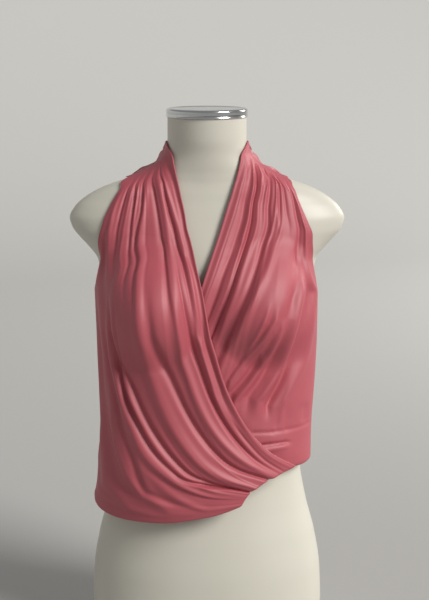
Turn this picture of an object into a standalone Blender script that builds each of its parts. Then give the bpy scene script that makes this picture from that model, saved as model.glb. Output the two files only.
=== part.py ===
# A draped wrap blouse in satin jersey, worn by a limbless dress form with a chromed neck cap.
# The front of the blouse faces -Y and +Z is up. The form stands on its flat base at Z = 0.

import math

import bmesh
import bpy
import numpy as np

COLLECTION_NAME = "Wrap blouse on a dress form"
MM = 0.001

# Driving sizes, in millimetres
WALL = 1.6
SEAM_GAP = 0.3
CLOTH_CLEARANCE = 3.0
FOLD_ROOM = 4.0
SHOULDER_SHARE = 0.5
FORM_HEIGHT = 748.0
CAP_RADIUS = 57.0
CAP_HEIGHT = 12.0
CAP_EDGE_RADIUS = 3.0
HEM_ROLL_RADIUS = 6.0
HEM_ROLL_TURN = math.radians(150.0)

# Small step by which a direction on a surface is measured
NUDGE = 0.01

# Bust of the form, and of the cloth that bridges it
BUST_OFFSET = 88.0
BUST_LEVEL = 487.0
BUST_SPREAD = 85.0
BUST_RISE = 105.0
BUST_FALL = 80.0
FORM_BUST = 38.0
CLOTH_BUST = 34.0

# Number of cells along and across each piece
FORM_CELLS = 40
FRONT_RIGHT_LENGTH_CELLS = 48
FRONT_RIGHT_WIDTH_CELLS = 30
FRONT_LEFT_LENGTH_CELLS = 36
FRONT_LEFT_WIDTH_CELLS = 24
BACK_LENGTH_CELLS = 30
BACK_WIDTH_CELLS = 32
ROLL_CELLS = 4
ROLL_SHARE = 0.034
SHOULDER_CELLS = 9
SHOULDER_LENGTH = 0.1

# Levels of the form above its base: half width, depth to the front and to the back, squareness of outline
FORM_COLUMNS = ("level", "half_width", "front", "back", "squareness")
FORM_SECTIONS = (
    (0.0, 157.0, 92.0, 100.0, 2.2),
    (50.0, 166.0, 101.0, 115.0, 2.2),
    (100.0, 164.0, 102.0, 118.0, 2.15),
    (150.0, 156.0, 99.0, 110.0, 2.1),
    (200.0, 143.0, 93.0, 97.0, 2.1),
    (250.0, 134.0, 88.0, 85.0, 2.1),
    (290.0, 131.0, 86.0, 80.0, 2.1),
    (340.0, 135.0, 88.0, 84.0, 2.1),
    (400.0, 141.0, 92.0, 93.0, 2.1),
    (450.0, 146.0, 95.0, 101.0, 2.1),
    (500.0, 149.0, 92.0, 106.0, 2.1),
    (530.0, 150.0, 86.0, 107.0, 2.1),
    (550.0, 154.0, 81.0, 106.0, 2.0),
    (568.0, 167.0, 75.0, 104.0, 1.95),
    (581.0, 179.0, 70.0, 100.0, 1.9),
    (594.0, 189.0, 65.0, 97.0, 1.9),
    (608.0, 193.0, 60.0, 93.0, 1.9),
    (624.0, 185.0, 55.0, 87.0, 1.85),
    (636.0, 172.0, 51.5, 82.0, 1.8),
    (647.0, 154.0, 49.0, 77.0, 1.8),
    (655.5, 134.0, 47.0, 72.0, 1.8),
    (663.0, 110.0, 46.0, 68.0, 1.8),
    (672.0, 89.0, 46.0, 64.0, 1.85),
    (683.0, 71.0, 47.0, 60.0, 1.95),
    (700.0, 58.0, 49.0, 57.0, 2.0),
    (720.0, 55.0, 53.0, 54.0, 2.0),
    (748.0, 55.0, 55.0, 55.0, 2.0),
)

# Stretches of the form's height, each with its lowest ring, its highest ring and its number of rings
FORM_RING_STRETCHES = (
    (0.0, 530.0, 11),
    (546.0, 650.0, 12),
    (657.0, 713.0, 10),
    (725.0, FORM_HEIGHT, 3),
)

# Levels of the hanging cloth: half widths at the wearer's right and left, depths, squareness
DRAPE_COLUMNS = ("level", "right", "left", "front", "back", "squareness")
DRAPE_SECTIONS = (
    (180.0, 147.0, 149.0, 107.0, 112.0, 2.2),
    (216.0, 154.0, 150.0, 112.0, 114.0, 2.2),
    (261.0, 155.0, 149.0, 114.0, 109.0, 2.2),
    (291.0, 152.0, 149.0, 113.0, 104.0, 2.2),
    (328.0, 149.0, 150.0, 111.0, 102.0, 2.2),
    (358.0, 149.0, 152.0, 110.0, 102.0, 2.2),
    (402.0, 150.0, 154.5, 109.0, 103.0, 2.15),
    (446.0, 152.0, 156.0, 108.0, 106.0, 2.1),
    (495.0, 155.0, 156.0, 103.0, 110.0, 2.1),
    (532.0, 157.0, 155.0, 95.0, 111.0, 2.1),
    (560.0, 160.0, 156.0, 86.0, 110.0, 2.1),
)
DRAPE_TOP = 575.0
DRAPE_FULL = 520.0

# Lowest level of the rolled hem at each angle round the body, 0 at the front and 90 at the wearer's left
HEM_COLUMNS = ("angle", "level")
FRONT_RIGHT_HEM = (
    (-92.0, 206.0),
    (-70.0, 198.0),
    (-45.0, 195.0),
    (-20.0, 197.0),
    (0.0, 207.0),
    (20.0, 226.0),
)
FRONT_LEFT_HEM = ((-60.0, 290.0), (0.0, 274.0), (45.0, 266.0), (92.0, 261.0))
BACK_HEM = ((88.0, 261.0), (135.0, 250.0), (180.0, 232.0), (225.0, 214.0), (272.0, 206.0))

# Cuts across a piece from its first edge to its last, at shares of its length from the shoulder:
# angle round the body and level on the first edge, two lines between, and the last edge
CUT_COLUMNS = (
    "along", "angle_0", "level_0", "angle_1", "level_1", "angle_2", "level_2", "angle_3", "level_3"
)

# Where a line stops being straight as seen from the front or back: angle from the middle, level, share of
# the half width
SIDE_START = math.radians(55.0)
SIDE_END = math.radians(80.0)
NECK_START = 680.0
NECK_END = 700.0
OUTLINE_START = 0.8
OUTLINE_END = 0.98
CUT_PLACES_RIGHT = (0.0, 0.3, 0.6, 1.0)
CUTS_RIGHT = (
    (0.00, -80.0, 715.0, -80.0, 692.0, -80.0, 677.0, -80.0, 663.0),
    (0.03, -52.7, 699.7, -42.9, 663.4, -45.8, 654.1, -52.0, 643.0),
    (0.06, -38.9, 685.3, -30.0, 650.1, -38.2, 640.3, -48.4, 626.2),
    (0.10, -25.5, 666.7, -24.0, 632.1, -34.0, 620.6, -49.0, 604.9),
    (0.15, -14.6, 642.9, -19.9, 609.6, -34.2, 596.3, -59.7, 576.1),
    (0.20, -10.3, 619.1, -19.7, 587.0, -39.3, 569.4, -78.7, 540.0),
    (0.28, -7.6, 581.2, -20.6, 549.5, -41.5, 530.7, -91.0, 500.0),
    (0.36, -4.5, 545.3, -19.6, 517.6, -40.6, 494.7, -91.0, 440.0),
    (0.44, -1.9, 509.7, -18.2, 484.9, -39.4, 453.3, -91.0, 385.0),
    (0.52, 0.9, 473.8, -15.0, 446.6, -37.0, 408.5, -91.0, 326.0),
    (0.60, 3.8, 437.0, -10.4, 407.3, -32.0, 366.7, -91.0, 264.0),
    (0.68, 7.2, 398.5, -5.9, 369.8, -24.9, 328.5, -91.0, 196.5),
    (0.76, 12.4, 361.6, -0.9, 334.5, -15.9, 295.2, -52.0, 186.0),
    (0.84, 20.3, 326.7, 5.2, 302.8, -5.9, 267.1, -23.0, 187.0),
    (0.92, 31.9, 295.2, 14.4, 275.1, 4.6, 248.9, -4.0, 197.0),
    (1.00, 49.0, 271.0, 28.0, 254.0, 19.5, 240.0, 13.5, 213.0),
)
CUT_PLACES_LEFT = (0.0, 0.33, 0.66, 1.0)
CUTS_LEFT = (
    (0.00, 80.0, 715.0, 80.0, 692.0, 80.0, 677.0, 80.0, 663.0),
    (0.03, 53.2, 701.4, 60.0, 680.1, 62.0, 667.5, 54.4, 648.0),
    (0.06, 41.2, 688.1, 45.4, 667.9, 48.0, 656.4, 48.6, 635.3),
    (0.10, 28.3, 671.7, 31.6, 652.5, 38.8, 642.1, 46.3, 621.9),
    (0.15, 15.7, 650.1, 23.9, 631.4, 33.8, 622.4, 47.0, 605.6),
    (0.20, 10.5, 629.1, 20.3, 611.0, 32.8, 602.4, 52.5, 587.8),
    (0.28, 6.0, 596.2, 18.6, 578.7, 34.2, 570.8, 70.0, 556.0),
    (0.36, 2.4, 563.8, 16.0, 547.2, 34.2, 541.1, 83.0, 524.0),
    (0.44, -1.5, 531.6, 12.0, 516.6, 31.6, 512.1, 91.0, 500.0),
    (0.52, -6.0, 500.4, 7.1, 485.3, 28.4, 481.6, 91.0, 462.0),
    (0.60, -10.6, 468.6, 2.0, 452.8, 25.5, 447.9, 91.0, 425.0),
    (0.68, -15.5, 435.3, -2.7, 419.8, 22.6, 412.0, 91.0, 388.0),
    (0.76, -21.0, 400.5, -6.8, 385.8, 19.9, 378.1, 91.0, 354.0),
    (0.84, -27.9, 366.6, -10.4, 351.6, 18.0, 344.6, 91.0, 320.0),
    (0.92, -37.2, 331.8, -13.2, 315.0, 17.2, 308.0, 91.0, 285.0),
    (1.00, -50.0, 284.0, -15.0, 266.0, 17.0, 258.0, 91.0, 251.5),
)

# Folds along a piece, each a ridge (height above 0) or a trough (below 0): where it starts and ends along
# the piece, its places across the piece at even steps from start to end, its height and its half width
FOLD_COLUMNS = (
    "start", "end", "place_0", "place_1", "place_2", "place_3", "place_4", "height", "half_width"
)
FOLD_FADE = 0.12
FOLDS_RIGHT = (
    (-0.04, 0.60, 0.205, 0.135, 0.095, 0.098, 0.107, 4.0, 0.036),
    (-0.04, 0.47, 0.225, 0.195, 0.161, 0.141, 0.138, -4.5, 0.026),
    (-0.05, 0.97, 0.265, 0.245, 0.280, 0.262, 0.190, 5.0, 0.045),
    (-0.05, 0.50, 0.350, 0.323, 0.318, 0.305, 0.313, -5.0, 0.032),
    (-0.05, 0.42, 0.400, 0.470, 0.506, 0.510, 0.515, 4.5, 0.036),
    (-0.05, 0.39, 0.470, 0.500, 0.540, 0.545, 0.541, -4.5, 0.024),
    (-0.02, 0.30, 0.650, 0.612, 0.605, 0.600, 0.630, -3.0, 0.026),
    (0.02, 0.28, 0.900, 0.875, 0.854, 0.841, 0.830, 2.5, 0.040),
    (0.10, 0.46, 0.935, 0.877, 0.833, 0.800, 0.775, -3.0, 0.032),
    (0.34, 0.99, 0.790, 0.720, 0.667, 0.660, 0.540, -7.0, 0.030),
    (0.38, 0.94, 0.800, 0.735, 0.698, 0.697, 0.690, 4.5, 0.034),
    (0.38, 0.84, 0.825, 0.792, 0.755, 0.745, 0.800, -4.0, 0.028),
    (0.46, 0.95, 0.700, 0.655, 0.648, 0.652, 0.600, 4.0, 0.026),
    (0.42, 0.98, 0.715, 0.635, 0.612, 0.604, 0.520, -4.0, 0.028),
    (0.38, 1.00, 0.540, 0.497, 0.493, 0.482, 0.420, 5.5, 0.045),
    (0.40, 1.03, 0.470, 0.400, 0.366, 0.335, 0.225, -5.0, 0.038),
    (0.44, 0.95, 0.240, 0.172, 0.152, 0.143, 0.120, -4.5, 0.034),
    (0.49, 0.75, 0.145, 0.112, 0.107, 0.102, 0.115, 3.0, 0.028),
    (0.60, 0.90, 0.760, 0.765, 0.783, 0.820, 0.880, 3.2, 0.040),
    (0.66, 0.97, 0.730, 0.740, 0.757, 0.790, 0.840, 2.8, 0.030),
    (0.72, 0.94, 0.724, 0.718, 0.714, 0.712, 0.712, -2.5, 0.024),
)
FOLDS_LEFT = (
    (0.08, 0.62, 0.190, 0.198, 0.197, 0.187, 0.192, -3.4, 0.040),
    (-0.05, 0.58, 0.240, 0.256, 0.267, 0.268, 0.284, 3.2, 0.034),
    (-0.05, 0.64, 0.335, 0.300, 0.315, 0.312, 0.309, -4.5, 0.024),
    (-0.05, 0.62, 0.430, 0.378, 0.384, 0.378, 0.384, 4.2, 0.036),
    (-0.05, 0.68, 0.545, 0.510, 0.508, 0.464, 0.430, -4.0, 0.034),
    (-0.02, 0.26, 0.655, 0.633, 0.607, 0.583, 0.556, -2.5, 0.026),
    (0.12, 0.73, 0.650, 0.627, 0.570, 0.522, 0.465, 4.5, 0.042),
    (0.52, 0.84, 0.855, 0.830, 0.782, 0.708, 0.610, 3.2, 0.034),
    (0.03, 0.50, 0.915, 0.862, 0.845, 0.832, 0.805, -3.2, 0.030),
    (0.04, 0.54, 0.915, 0.885, 0.872, 0.858, 0.835, 3.2, 0.032),
    (0.20, 0.84, 0.985, 0.882, 0.870, 0.848, 0.760, -5.0, 0.032),
    (0.47, 0.90, 0.895, 0.882, 0.865, 0.828, 0.760, 4.0, 0.032),
)
FOLDS_BACK = (
    (0.30, 0.90, 0.100, 0.120, 0.135, 0.145, 0.150, -3.0, 0.040),
    (0.35, 1.05, 0.200, 0.205, 0.220, 0.240, 0.260, 3.0, 0.050),
    (0.45, 1.05, 0.380, 0.380, 0.390, 0.405, 0.415, -3.0, 0.045),
    (0.40, 1.05, 0.550, 0.550, 0.545, 0.540, 0.530, 2.5, 0.060),
    (0.45, 1.05, 0.700, 0.700, 0.690, 0.675, 0.665, -3.0, 0.042),
    (0.35, 1.05, 0.800, 0.800, 0.790, 0.775, 0.765, 3.0, 0.050),
    (0.30, 0.90, 0.900, 0.890, 0.875, 0.865, 0.855, -3.0, 0.040),
)

# Cuts across one half of the back, from its middle line to its shoulder, armhole and side
BACK_HEM_LEVEL = 232.0
CUT_PLACES_BACK = (0.0, 0.5, 0.75, 1.0)
CUTS_BACK = (
    (0.00, 180.0, 713.0, 80.5, 714.0, 80.5, 686.0, 80.5, 663.0),
    (0.025, 180.0, 706.0, 92.0, 707.0, 90.0, 681.0, 110.0, 658.0),
    (0.05, 180.0, 698.0, 104.0, 700.0, 101.0, 676.0, 125.0, 648.5),
    (0.12, 180.0, 674.0, 126.0, 676.0, 126.0, 654.0, 135.0, 624.0),
    (0.20, 180.0, 643.0, 145.0, 644.0, 137.0, 622.0, 137.0, 598.0),
    (0.28, 180.0, 608.0, 152.0, 607.0, 137.0, 589.0, 128.0, 569.0),
    (0.38, 180.0, 562.0, 147.0, 560.0, 128.0, 548.0, 106.0, 531.0),
    (0.44, 180.0, 534.0, 145.0, 532.0, 123.0, 522.0, 98.0, 508.0),
    (0.50, 180.0, 505.0, 144.0, 503.0, 119.0, 500.0, 91.15, 500.0),
    (0.62, 180.0, 445.0, 144.0, 443.0, 118.0, 440.0, 91.15, 438.0),
    (0.75, 180.0, 378.0, 144.0, 377.0, 118.0, 374.0, 91.15, 371.0),
    (0.88, 180.0, 301.0, 144.0, 300.0, 118.0, 299.0, 91.15, 298.0),
    (0.96, 180.0, 249.0, 144.0, 249.0, 118.0, 249.0, 91.15, 249.0),
    (1.00, 180.0, 222.3, 144.0, 222.3, 118.0, 222.3, 91.15, 222.3),
)

# Height of the upper front above the lower one where they cross, and how far the lower one sinks beneath it
OVERLAP_LIFT = 9.0
UNDERLAP_SINK = 8.0

# Shares of a piece's length or width between which a change comes in or fades out
SHOULDER_SEAM = (0.0, 0.06)
SHOULDER_ROOM = (0.0, 0.25)
CROSSING_START = (0.18, 0.42)
CROSSING_SIDE = (0.75, 0.95)
CROSSING_SIDE_END = (0.62, 0.72)
RIGHT_SEAM = (0.85, 1.0)
RIGHT_SEAM_END = (0.66, 0.74)
LEFT_SEAM = (0.88, 1.0)
BACK_SEAM = (0.85, 1.0)
BACK_HEM_TILT = (0.3, 1.0)

# Turn past the upper front's edge, in degrees, over which the lower one dips, and the levels where it starts
COVER_TURN = (2.0, 14.0)
SINK_LEVELS = (400.0, 470.0)

# Sharpest crease that is still shaded smooth
CLOTH_SMOOTH_ANGLE = math.radians(50.0)
FORM_SMOOTH_ANGLE = math.radians(40.0)
CAP_SEGMENTS = 36


def srgb(hex_colour):
    """Give the linear colour of a hex code."""
    channels = [int(hex_colour[i:i + 2], 16) / 255 for i in (1, 3, 5)]
    linear = [c / 12.92 if c <= 0.04045 else ((c + 0.055) / 1.055) ** 2.4 for c in channels]
    return (*linear, 1.0)


def make_material(name, colour, roughness, metallic=0.0):
    """Make a Principled material of one colour."""
    material = bpy.data.materials.new(name)
    material.use_nodes = True
    shader = material.node_tree.nodes["Principled BSDF"]
    shader.inputs["Base Color"].default_value = srgb(colour)
    shader.inputs["Roughness"].default_value = roughness
    shader.inputs["Metallic"].default_value = metallic
    return material


def ease(start, end, value):
    """Rise smoothly from 0 to 1 between two values."""
    share = np.clip((value - start) / (end - start), 0.0, 1.0)
    return share * share * (3.0 - 2.0 * share)


def spline(places, values, at):
    """Read a smooth curve that never overshoots its values, with its end values past its ends."""
    places = np.asarray(places, float)
    values = np.asarray(values, float)
    at = np.clip(at, places[0], places[-1])
    steps = np.diff(places)
    slopes = np.diff(values) / steps
    same_way = slopes[:-1] * slopes[1:] > 0.0
    before = np.where(same_way, slopes[:-1], 1.0)
    after = np.where(same_way, slopes[1:], 1.0)
    weight = (2.0 * steps[1:] + steps[:-1]) / (3.0 * (steps[1:] + steps[:-1]))
    middle = np.where(same_way, before * after / (weight * after + (1.0 - weight) * before), 0.0)
    tangents = np.concatenate((slopes[:1], middle, slopes[-1:]))
    cell = np.clip(np.searchsorted(places, at, side="right") - 1, 0, len(steps) - 1)
    share = (at - places[cell]) / steps[cell]
    rise = share * share * (3.0 - 2.0 * share)
    leave = share * (1.0 - share) ** 2 * steps[cell] * tangents[cell]
    arrive = share * share * (share - 1.0) * steps[cell] * tangents[cell + 1]
    return values[cell] + (values[cell + 1] - values[cell]) * rise + leave + arrive


def column(table, names, name):
    """Pick one named column of a table."""
    return [row[names.index(name)] for row in table]


def read(table, names, at):
    """Read every column of a table but the first along a smooth curve, at the given places."""
    places = column(table, names, names[0])
    return [spline(places, column(table, names, name), at) for name in names[1:]]


def bust_rise(x, level, height):
    """Give how far the bust stands out to the front."""
    reach = np.where(level > BUST_LEVEL, BUST_RISE, BUST_FALL)
    distance = ((np.abs(x) - BUST_OFFSET) / BUST_SPREAD) ** 2 + ((level - BUST_LEVEL) / reach) ** 2
    return height * np.clip(1.0 - distance, 0.0, None) ** 2


def ring_point(angle, level, half_width, front, back, squareness, bust):
    """Give points on a level outline of the body at angles in radians, 0 at the front."""
    power = 2.0 / squareness
    x = half_width * np.sign(np.sin(angle)) * np.abs(np.sin(angle)) ** power
    depth = np.where(np.cos(angle) > 0.0, front, back)
    y = -depth * np.sign(np.cos(angle)) * np.abs(np.cos(angle)) ** power
    y = y - bust_rise(x, level, bust) * ease(0.0, 0.35, np.cos(angle))
    return np.stack((x, y, level + 0.0 * x), axis=-1)


def form_point(angle, level):
    """Give points on the surface of the dress form."""
    half_width, front, back, squareness = read(FORM_SECTIONS, FORM_COLUMNS, level)
    return ring_point(angle, level, half_width, front, back, squareness, FORM_BUST)


def drape_sizes(at_left, level):
    """Give half width, both depths and squareness of the surface that the cloth follows."""
    half_width, front, back, squareness = read(FORM_SECTIONS, FORM_COLUMNS, level)
    hanging = read(DRAPE_SECTIONS, DRAPE_COLUMNS, level)
    right, left, hanging_front, hanging_back, hanging_squareness = hanging
    free = ease(DRAPE_TOP, DRAPE_FULL, level)
    close = (half_width, front, back)
    loose = (np.where(at_left, left, right), hanging_front, hanging_back)
    sizes = [c * (1.0 - free) + (h - CLOTH_CLEARANCE) * free for c, h in zip(close, loose)]
    return (*sizes, squareness * (1.0 - free) + hanging_squareness * free)


def drape_point(angle, level):
    """Give points on the smooth surface that the cloth follows, close on the shoulders and free below."""
    free = ease(DRAPE_TOP, DRAPE_FULL, level)
    bust = FORM_BUST * (1.0 - free) + CLOTH_BUST * free
    return ring_point(angle, level, *drape_sizes(np.sin(angle) > 0.0, level), bust)


def turn_at(x, level):
    """Give the angle at the front of points of the drape x to the side, and their share of its half width."""
    half_width, _, _, squareness = drape_sizes(x > 0.0, level)
    share = np.clip(np.abs(x) / half_width, 0.0, 1.0)
    return np.sign(x) * np.arcsin(share ** (squareness / 2.0)), share


def fold_height(folds, along, across):
    """Give the height of the ridges and troughs at each point of a piece, above the deepest trough."""
    total = np.zeros(np.broadcast(along, across).shape)
    for row in folds:
        fold = dict(zip(FOLD_COLUMNS, row))
        places = [fold[name] for name in FOLD_COLUMNS if name.startswith("place")]
        stations = np.linspace(fold["start"], fold["end"], len(places))
        offset = (across - spline(stations, places, along)) / fold["half_width"]
        fade_in = ease(fold["start"], fold["start"] + FOLD_FADE, along)
        fade_out = 1.0 - ease(fold["end"] - FOLD_FADE, fold["end"], along)
        total = total + fold["height"] * fade_in * fade_out * np.exp(-offset * offset)
    room = FOLD_ROOM * (SHOULDER_SHARE + (1.0 - SHOULDER_SHARE) * ease(*SHOULDER_ROOM, along))
    return np.maximum(room + total, 0.0)


def spread_lines(lines, stations, places, along, across):
    """Read four lines of values along a piece and spread them across it."""
    read_along = np.stack([spline(stations, line, along[:, 0]) for line in lines], axis=-1)
    return np.stack([spline(places, values, across[0]) for values in read_along])


def lay_out(cuts, places, along, across):
    """Give the angle, in radians, and the level of each point of a piece.

    Between the cuts its lines run straight as seen from the front or back, and by their angles at the
    sides and the neck.
    """
    stations = column(cuts, CUT_COLUMNS, "along")
    turns = np.radians([column(cuts, CUT_COLUMNS, name) for name in CUT_COLUMNS[1::2]])
    levels = np.array([column(cuts, CUT_COLUMNS, name) for name in CUT_COLUMNS[2::2]])
    sideways = drape_point(turns, levels)[..., 0]
    turn = spread_lines(turns, stations, places, along, across)
    level = spread_lines(levels, stations, places, along, across)
    x = spread_lines(sideways, stations, places, along, across)
    at_front = np.cos(turn) > 0.0
    straight, share = turn_at(x, level)
    straight = np.where(at_front, straight, math.pi - straight)
    from_middle = np.where(at_front, np.abs(turn), math.pi - turn)
    at_side = np.maximum(ease(SIDE_START, SIDE_END, from_middle), ease(OUTLINE_START, OUTLINE_END, share))
    by_turn = np.maximum(at_side, ease(NECK_START, NECK_END, level))
    return straight + (turn - straight) * by_turn, level


def roll_hem(points, outwards, level, hem_level):
    """Turn the cloth below the roll's start inwards and up, along an arc."""
    turn = np.clip((hem_level + HEM_ROLL_RADIUS - level) / HEM_ROLL_RADIUS, 0.0, HEM_ROLL_TURN)
    turn = turn[..., None]
    downwards = np.array((0.0, 0.0, -1.0))
    inwards_step = outwards * HEM_ROLL_RADIUS * (1.0 - np.cos(turn))
    rolled = points - inwards_step + downwards * HEM_ROLL_RADIUS * np.sin(turn)
    return rolled, outwards * np.cos(turn) + downwards * np.sin(turn)


def cloth_skins(angle, level, lift, hem):
    """Give the outer and inner points of a piece, lifted off the smooth drape and rolled in at its hem."""
    hem_level, = read(hem, HEM_COLUMNS, np.degrees(angle))
    held_level = np.maximum(level, hem_level + HEM_ROLL_RADIUS)
    round_step = drape_point(angle + NUDGE, held_level) - drape_point(angle - NUDGE, held_level)
    rise_step = drape_point(angle, held_level + NUDGE) - drape_point(angle, held_level - NUDGE)
    outwards = np.cross(round_step, rise_step)
    outwards = outwards / np.linalg.norm(outwards, axis=-1, keepdims=True)
    points = drape_point(angle, held_level) + outwards * (CLOTH_CLEARANCE + lift)[..., None]
    outer, wall_direction = roll_hem(points, outwards, level, hem_level)
    return outer, outer - wall_direction * WALL


def steps_down(cells, rolled=False):
    """Give shares of a piece's length, closer on the shoulder and where a hem is rolled."""
    shoulder = np.linspace(0.0, SHOULDER_LENGTH, SHOULDER_CELLS + 1)
    end = 1.0 - ROLL_SHARE if rolled else 1.0
    roll_cells = ROLL_CELLS if rolled else 0
    middle = np.linspace(SHOULDER_LENGTH, end, cells + 1 - SHOULDER_CELLS - roll_cells)
    roll = np.linspace(end, 1.0, roll_cells + 1)
    return np.concatenate((shoulder, middle[1:], roll[1:]))


def sheet_object(name, outer, inner, material):
    """Make a closed wall from the grids of its outer and inner points."""
    rows, columns = outer.shape[:2]
    mesh = bpy.data.meshes.new(name)
    build = bmesh.new()
    skins = []
    for skin in (outer, inner):
        skins.append([[build.verts.new(skin[i, j] * MM) for j in range(columns)] for i in range(rows)])
    top, bottom = skins
    for i in range(rows - 1):
        for j in range(columns - 1):
            build.faces.new((top[i][j], top[i + 1][j], top[i + 1][j + 1], top[i][j + 1]))
            build.faces.new((bottom[i][j], bottom[i][j + 1], bottom[i + 1][j + 1], bottom[i + 1][j]))
    rim = [(i, 0) for i in range(rows)] + [(rows - 1, j) for j in range(1, columns)]
    rim += [(i, columns - 1) for i in range(rows - 2, -1, -1)] + [(0, j) for j in range(columns - 2, 0, -1)]
    for (i, j), (k, m) in zip(rim, rim[1:] + rim[:1]):
        build.faces.new((top[k][m], top[i][j], bottom[i][j], bottom[k][m]))
    bmesh.ops.recalc_face_normals(build, faces=build.faces)
    build.to_mesh(mesh)
    build.free()
    mesh.shade_smooth()
    mesh.set_sharp_from_angle(angle=CLOTH_SMOOTH_ANGLE)
    mesh.materials.append(material)
    return bpy.data.objects.new(name, mesh)


def front_right(material):
    """Make the upper front, which crosses over the lower one and ends in a swag at the far waist."""
    steps_across = np.linspace(0.0, 1.0, FRONT_RIGHT_WIDTH_CELLS + 1)
    along, across = np.meshgrid(steps_down(FRONT_RIGHT_LENGTH_CELLS), steps_across, indexing="ij")
    angle, level = lay_out(CUTS_RIGHT, CUT_PLACES_RIGHT, along, across)
    at_side = ease(*CROSSING_SIDE, across) * (1.0 - ease(*CROSSING_SIDE_END, along))
    crossing = ease(*CROSSING_START, along) * (1.0 - at_side)
    near_seam = ease(*RIGHT_SEAM, across) * (1.0 - ease(*RIGHT_SEAM_END, along))
    free_of_seam = ease(*SHOULDER_SEAM, along) * (1.0 - near_seam)
    lift = OVERLAP_LIFT * crossing + fold_height(FOLDS_RIGHT, along, across) * free_of_seam
    return sheet_object("front_right", *cloth_skins(angle, level, lift, FRONT_RIGHT_HEM), material)


def covered_share(angle, level):
    """Give how far a point of the lower front lies beneath the upper one, from 0 at its edge to 1."""
    edge_level = column(CUTS_RIGHT, CUT_COLUMNS, "level_0")[::-1]
    edge_angle = column(CUTS_RIGHT, CUT_COLUMNS, "angle_0")[::-1]
    edge = spline(edge_level, edge_angle, level)
    return ease(*COVER_TURN, edge - np.degrees(angle))


def front_left(material):
    """Make the lower front, which sinks beneath the upper one from the point of the V down."""
    steps_along = steps_down(FRONT_LEFT_LENGTH_CELLS, rolled=True)
    steps_across = np.linspace(0.0, 1.0, FRONT_LEFT_WIDTH_CELLS + 1)
    along, across = np.meshgrid(steps_along, steps_across, indexing="ij")
    angle, level = lay_out(CUTS_LEFT, CUT_PLACES_LEFT, along, across)
    covered = covered_share(angle, level)
    sink = UNDERLAP_SINK * covered * (1.0 - ease(*SINK_LEVELS, level))
    free_of_seam = ease(*SHOULDER_SEAM, along) * (1.0 - ease(*LEFT_SEAM, across))
    lift = fold_height(FOLDS_LEFT, along, across) * free_of_seam * (1.0 - covered) - sink
    return sheet_object("front_left", *cloth_skins(angle, level, lift, FRONT_LEFT_HEM), material)


def back_panel(material):
    """Make the back, from the neckline at the nape and the shoulder seams down to the rolled hem."""
    steps_along = steps_down(BACK_LENGTH_CELLS, rolled=True)
    half_steps = np.linspace(0.0, 1.0, BACK_WIDTH_CELLS // 2 + 1)
    steps_round = np.concatenate((-half_steps[:0:-1], half_steps))
    down, around = np.meshgrid(steps_along, steps_round, indexing="ij")
    half_down = down[:, BACK_WIDTH_CELLS // 2:]
    half_angle, half_level = lay_out(CUTS_BACK, CUT_PLACES_BACK, half_down, half_steps[None, :])
    angle = np.concatenate((half_angle[:, :0:-1], 2.0 * math.pi - half_angle), axis=1)
    level = np.concatenate((half_level[:, :0:-1], half_level), axis=1)
    hem_level, = read(BACK_HEM, HEM_COLUMNS, np.degrees(angle))
    level = level + (hem_level - BACK_HEM_LEVEL) * ease(*BACK_HEM_TILT, down)
    free_of_seam = ease(*SHOULDER_SEAM, down) * (1.0 - ease(*BACK_SEAM, np.abs(around)))
    lift = fold_height(FOLDS_BACK, down, (around + 1.0) / 2.0) * free_of_seam
    return sheet_object("back_panel", *cloth_skins(angle, level, lift, BACK_HEM), material)


def dress_form(material):
    """Loft the limbless torso through its sections, from the flat base to the top of the neck."""
    levels = np.concatenate([np.linspace(*stretch) for stretch in FORM_RING_STRETCHES])
    angles = np.radians(np.arange(FORM_CELLS) * 360.0 / FORM_CELLS)
    rings = form_point(angles[None, :], levels[:, None] + 0.0 * angles[None, :])
    mesh = bpy.data.meshes.new("dress_form")
    build = bmesh.new()
    verts = [[build.verts.new(point * MM) for point in ring] for ring in rings]
    for lower, upper in zip(verts, verts[1:]):
        for i in range(FORM_CELLS):
            j = (i + 1) % FORM_CELLS
            build.faces.new((lower[i], lower[j], upper[j], upper[i]))
    build.faces.new(verts[0][::-1])
    build.faces.new(verts[-1])
    bmesh.ops.recalc_face_normals(build, faces=build.faces)
    build.to_mesh(mesh)
    build.free()
    mesh.shade_smooth()
    mesh.set_sharp_from_angle(angle=FORM_SMOOTH_ANGLE)
    mesh.materials.append(material)
    return bpy.data.objects.new("dress_form", mesh)


def neck_cap(material):
    """Make the round cap on the neck, with softly rounded edges."""
    mesh = bpy.data.meshes.new("neck_cap")
    build = bmesh.new()
    bmesh.ops.create_cone(
        build,
        cap_ends=True,
        segments=CAP_SEGMENTS,
        radius1=CAP_RADIUS * MM,
        radius2=CAP_RADIUS * MM,
        depth=CAP_HEIGHT * MM,
    )
    build.to_mesh(mesh)
    build.free()
    mesh.shade_smooth()
    mesh.materials.append(material)
    cap = bpy.data.objects.new("neck_cap", mesh)
    cap.location.z = (FORM_HEIGHT + SEAM_GAP + CAP_HEIGHT / 2.0) * MM
    bevel = cap.modifiers.new("Edges", "BEVEL")
    bevel.width = CAP_EDGE_RADIUS * MM
    bevel.segments = 2
    bevel.limit_method = "ANGLE"
    bevel.angle_limit = FORM_SMOOTH_ANGLE
    return cap


def centre_on_origin(pieces):
    """Move the pieces so that the middle of the whole lies over the origin."""
    corners = np.array([piece.matrix_world @ vert.co for piece in pieces for vert in piece.data.vertices])
    middle = (corners.min(axis=0) + corners.max(axis=0)) / 2.0
    for piece in pieces:
        piece.location.x -= middle[0]
        piece.location.y -= middle[1]


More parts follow.
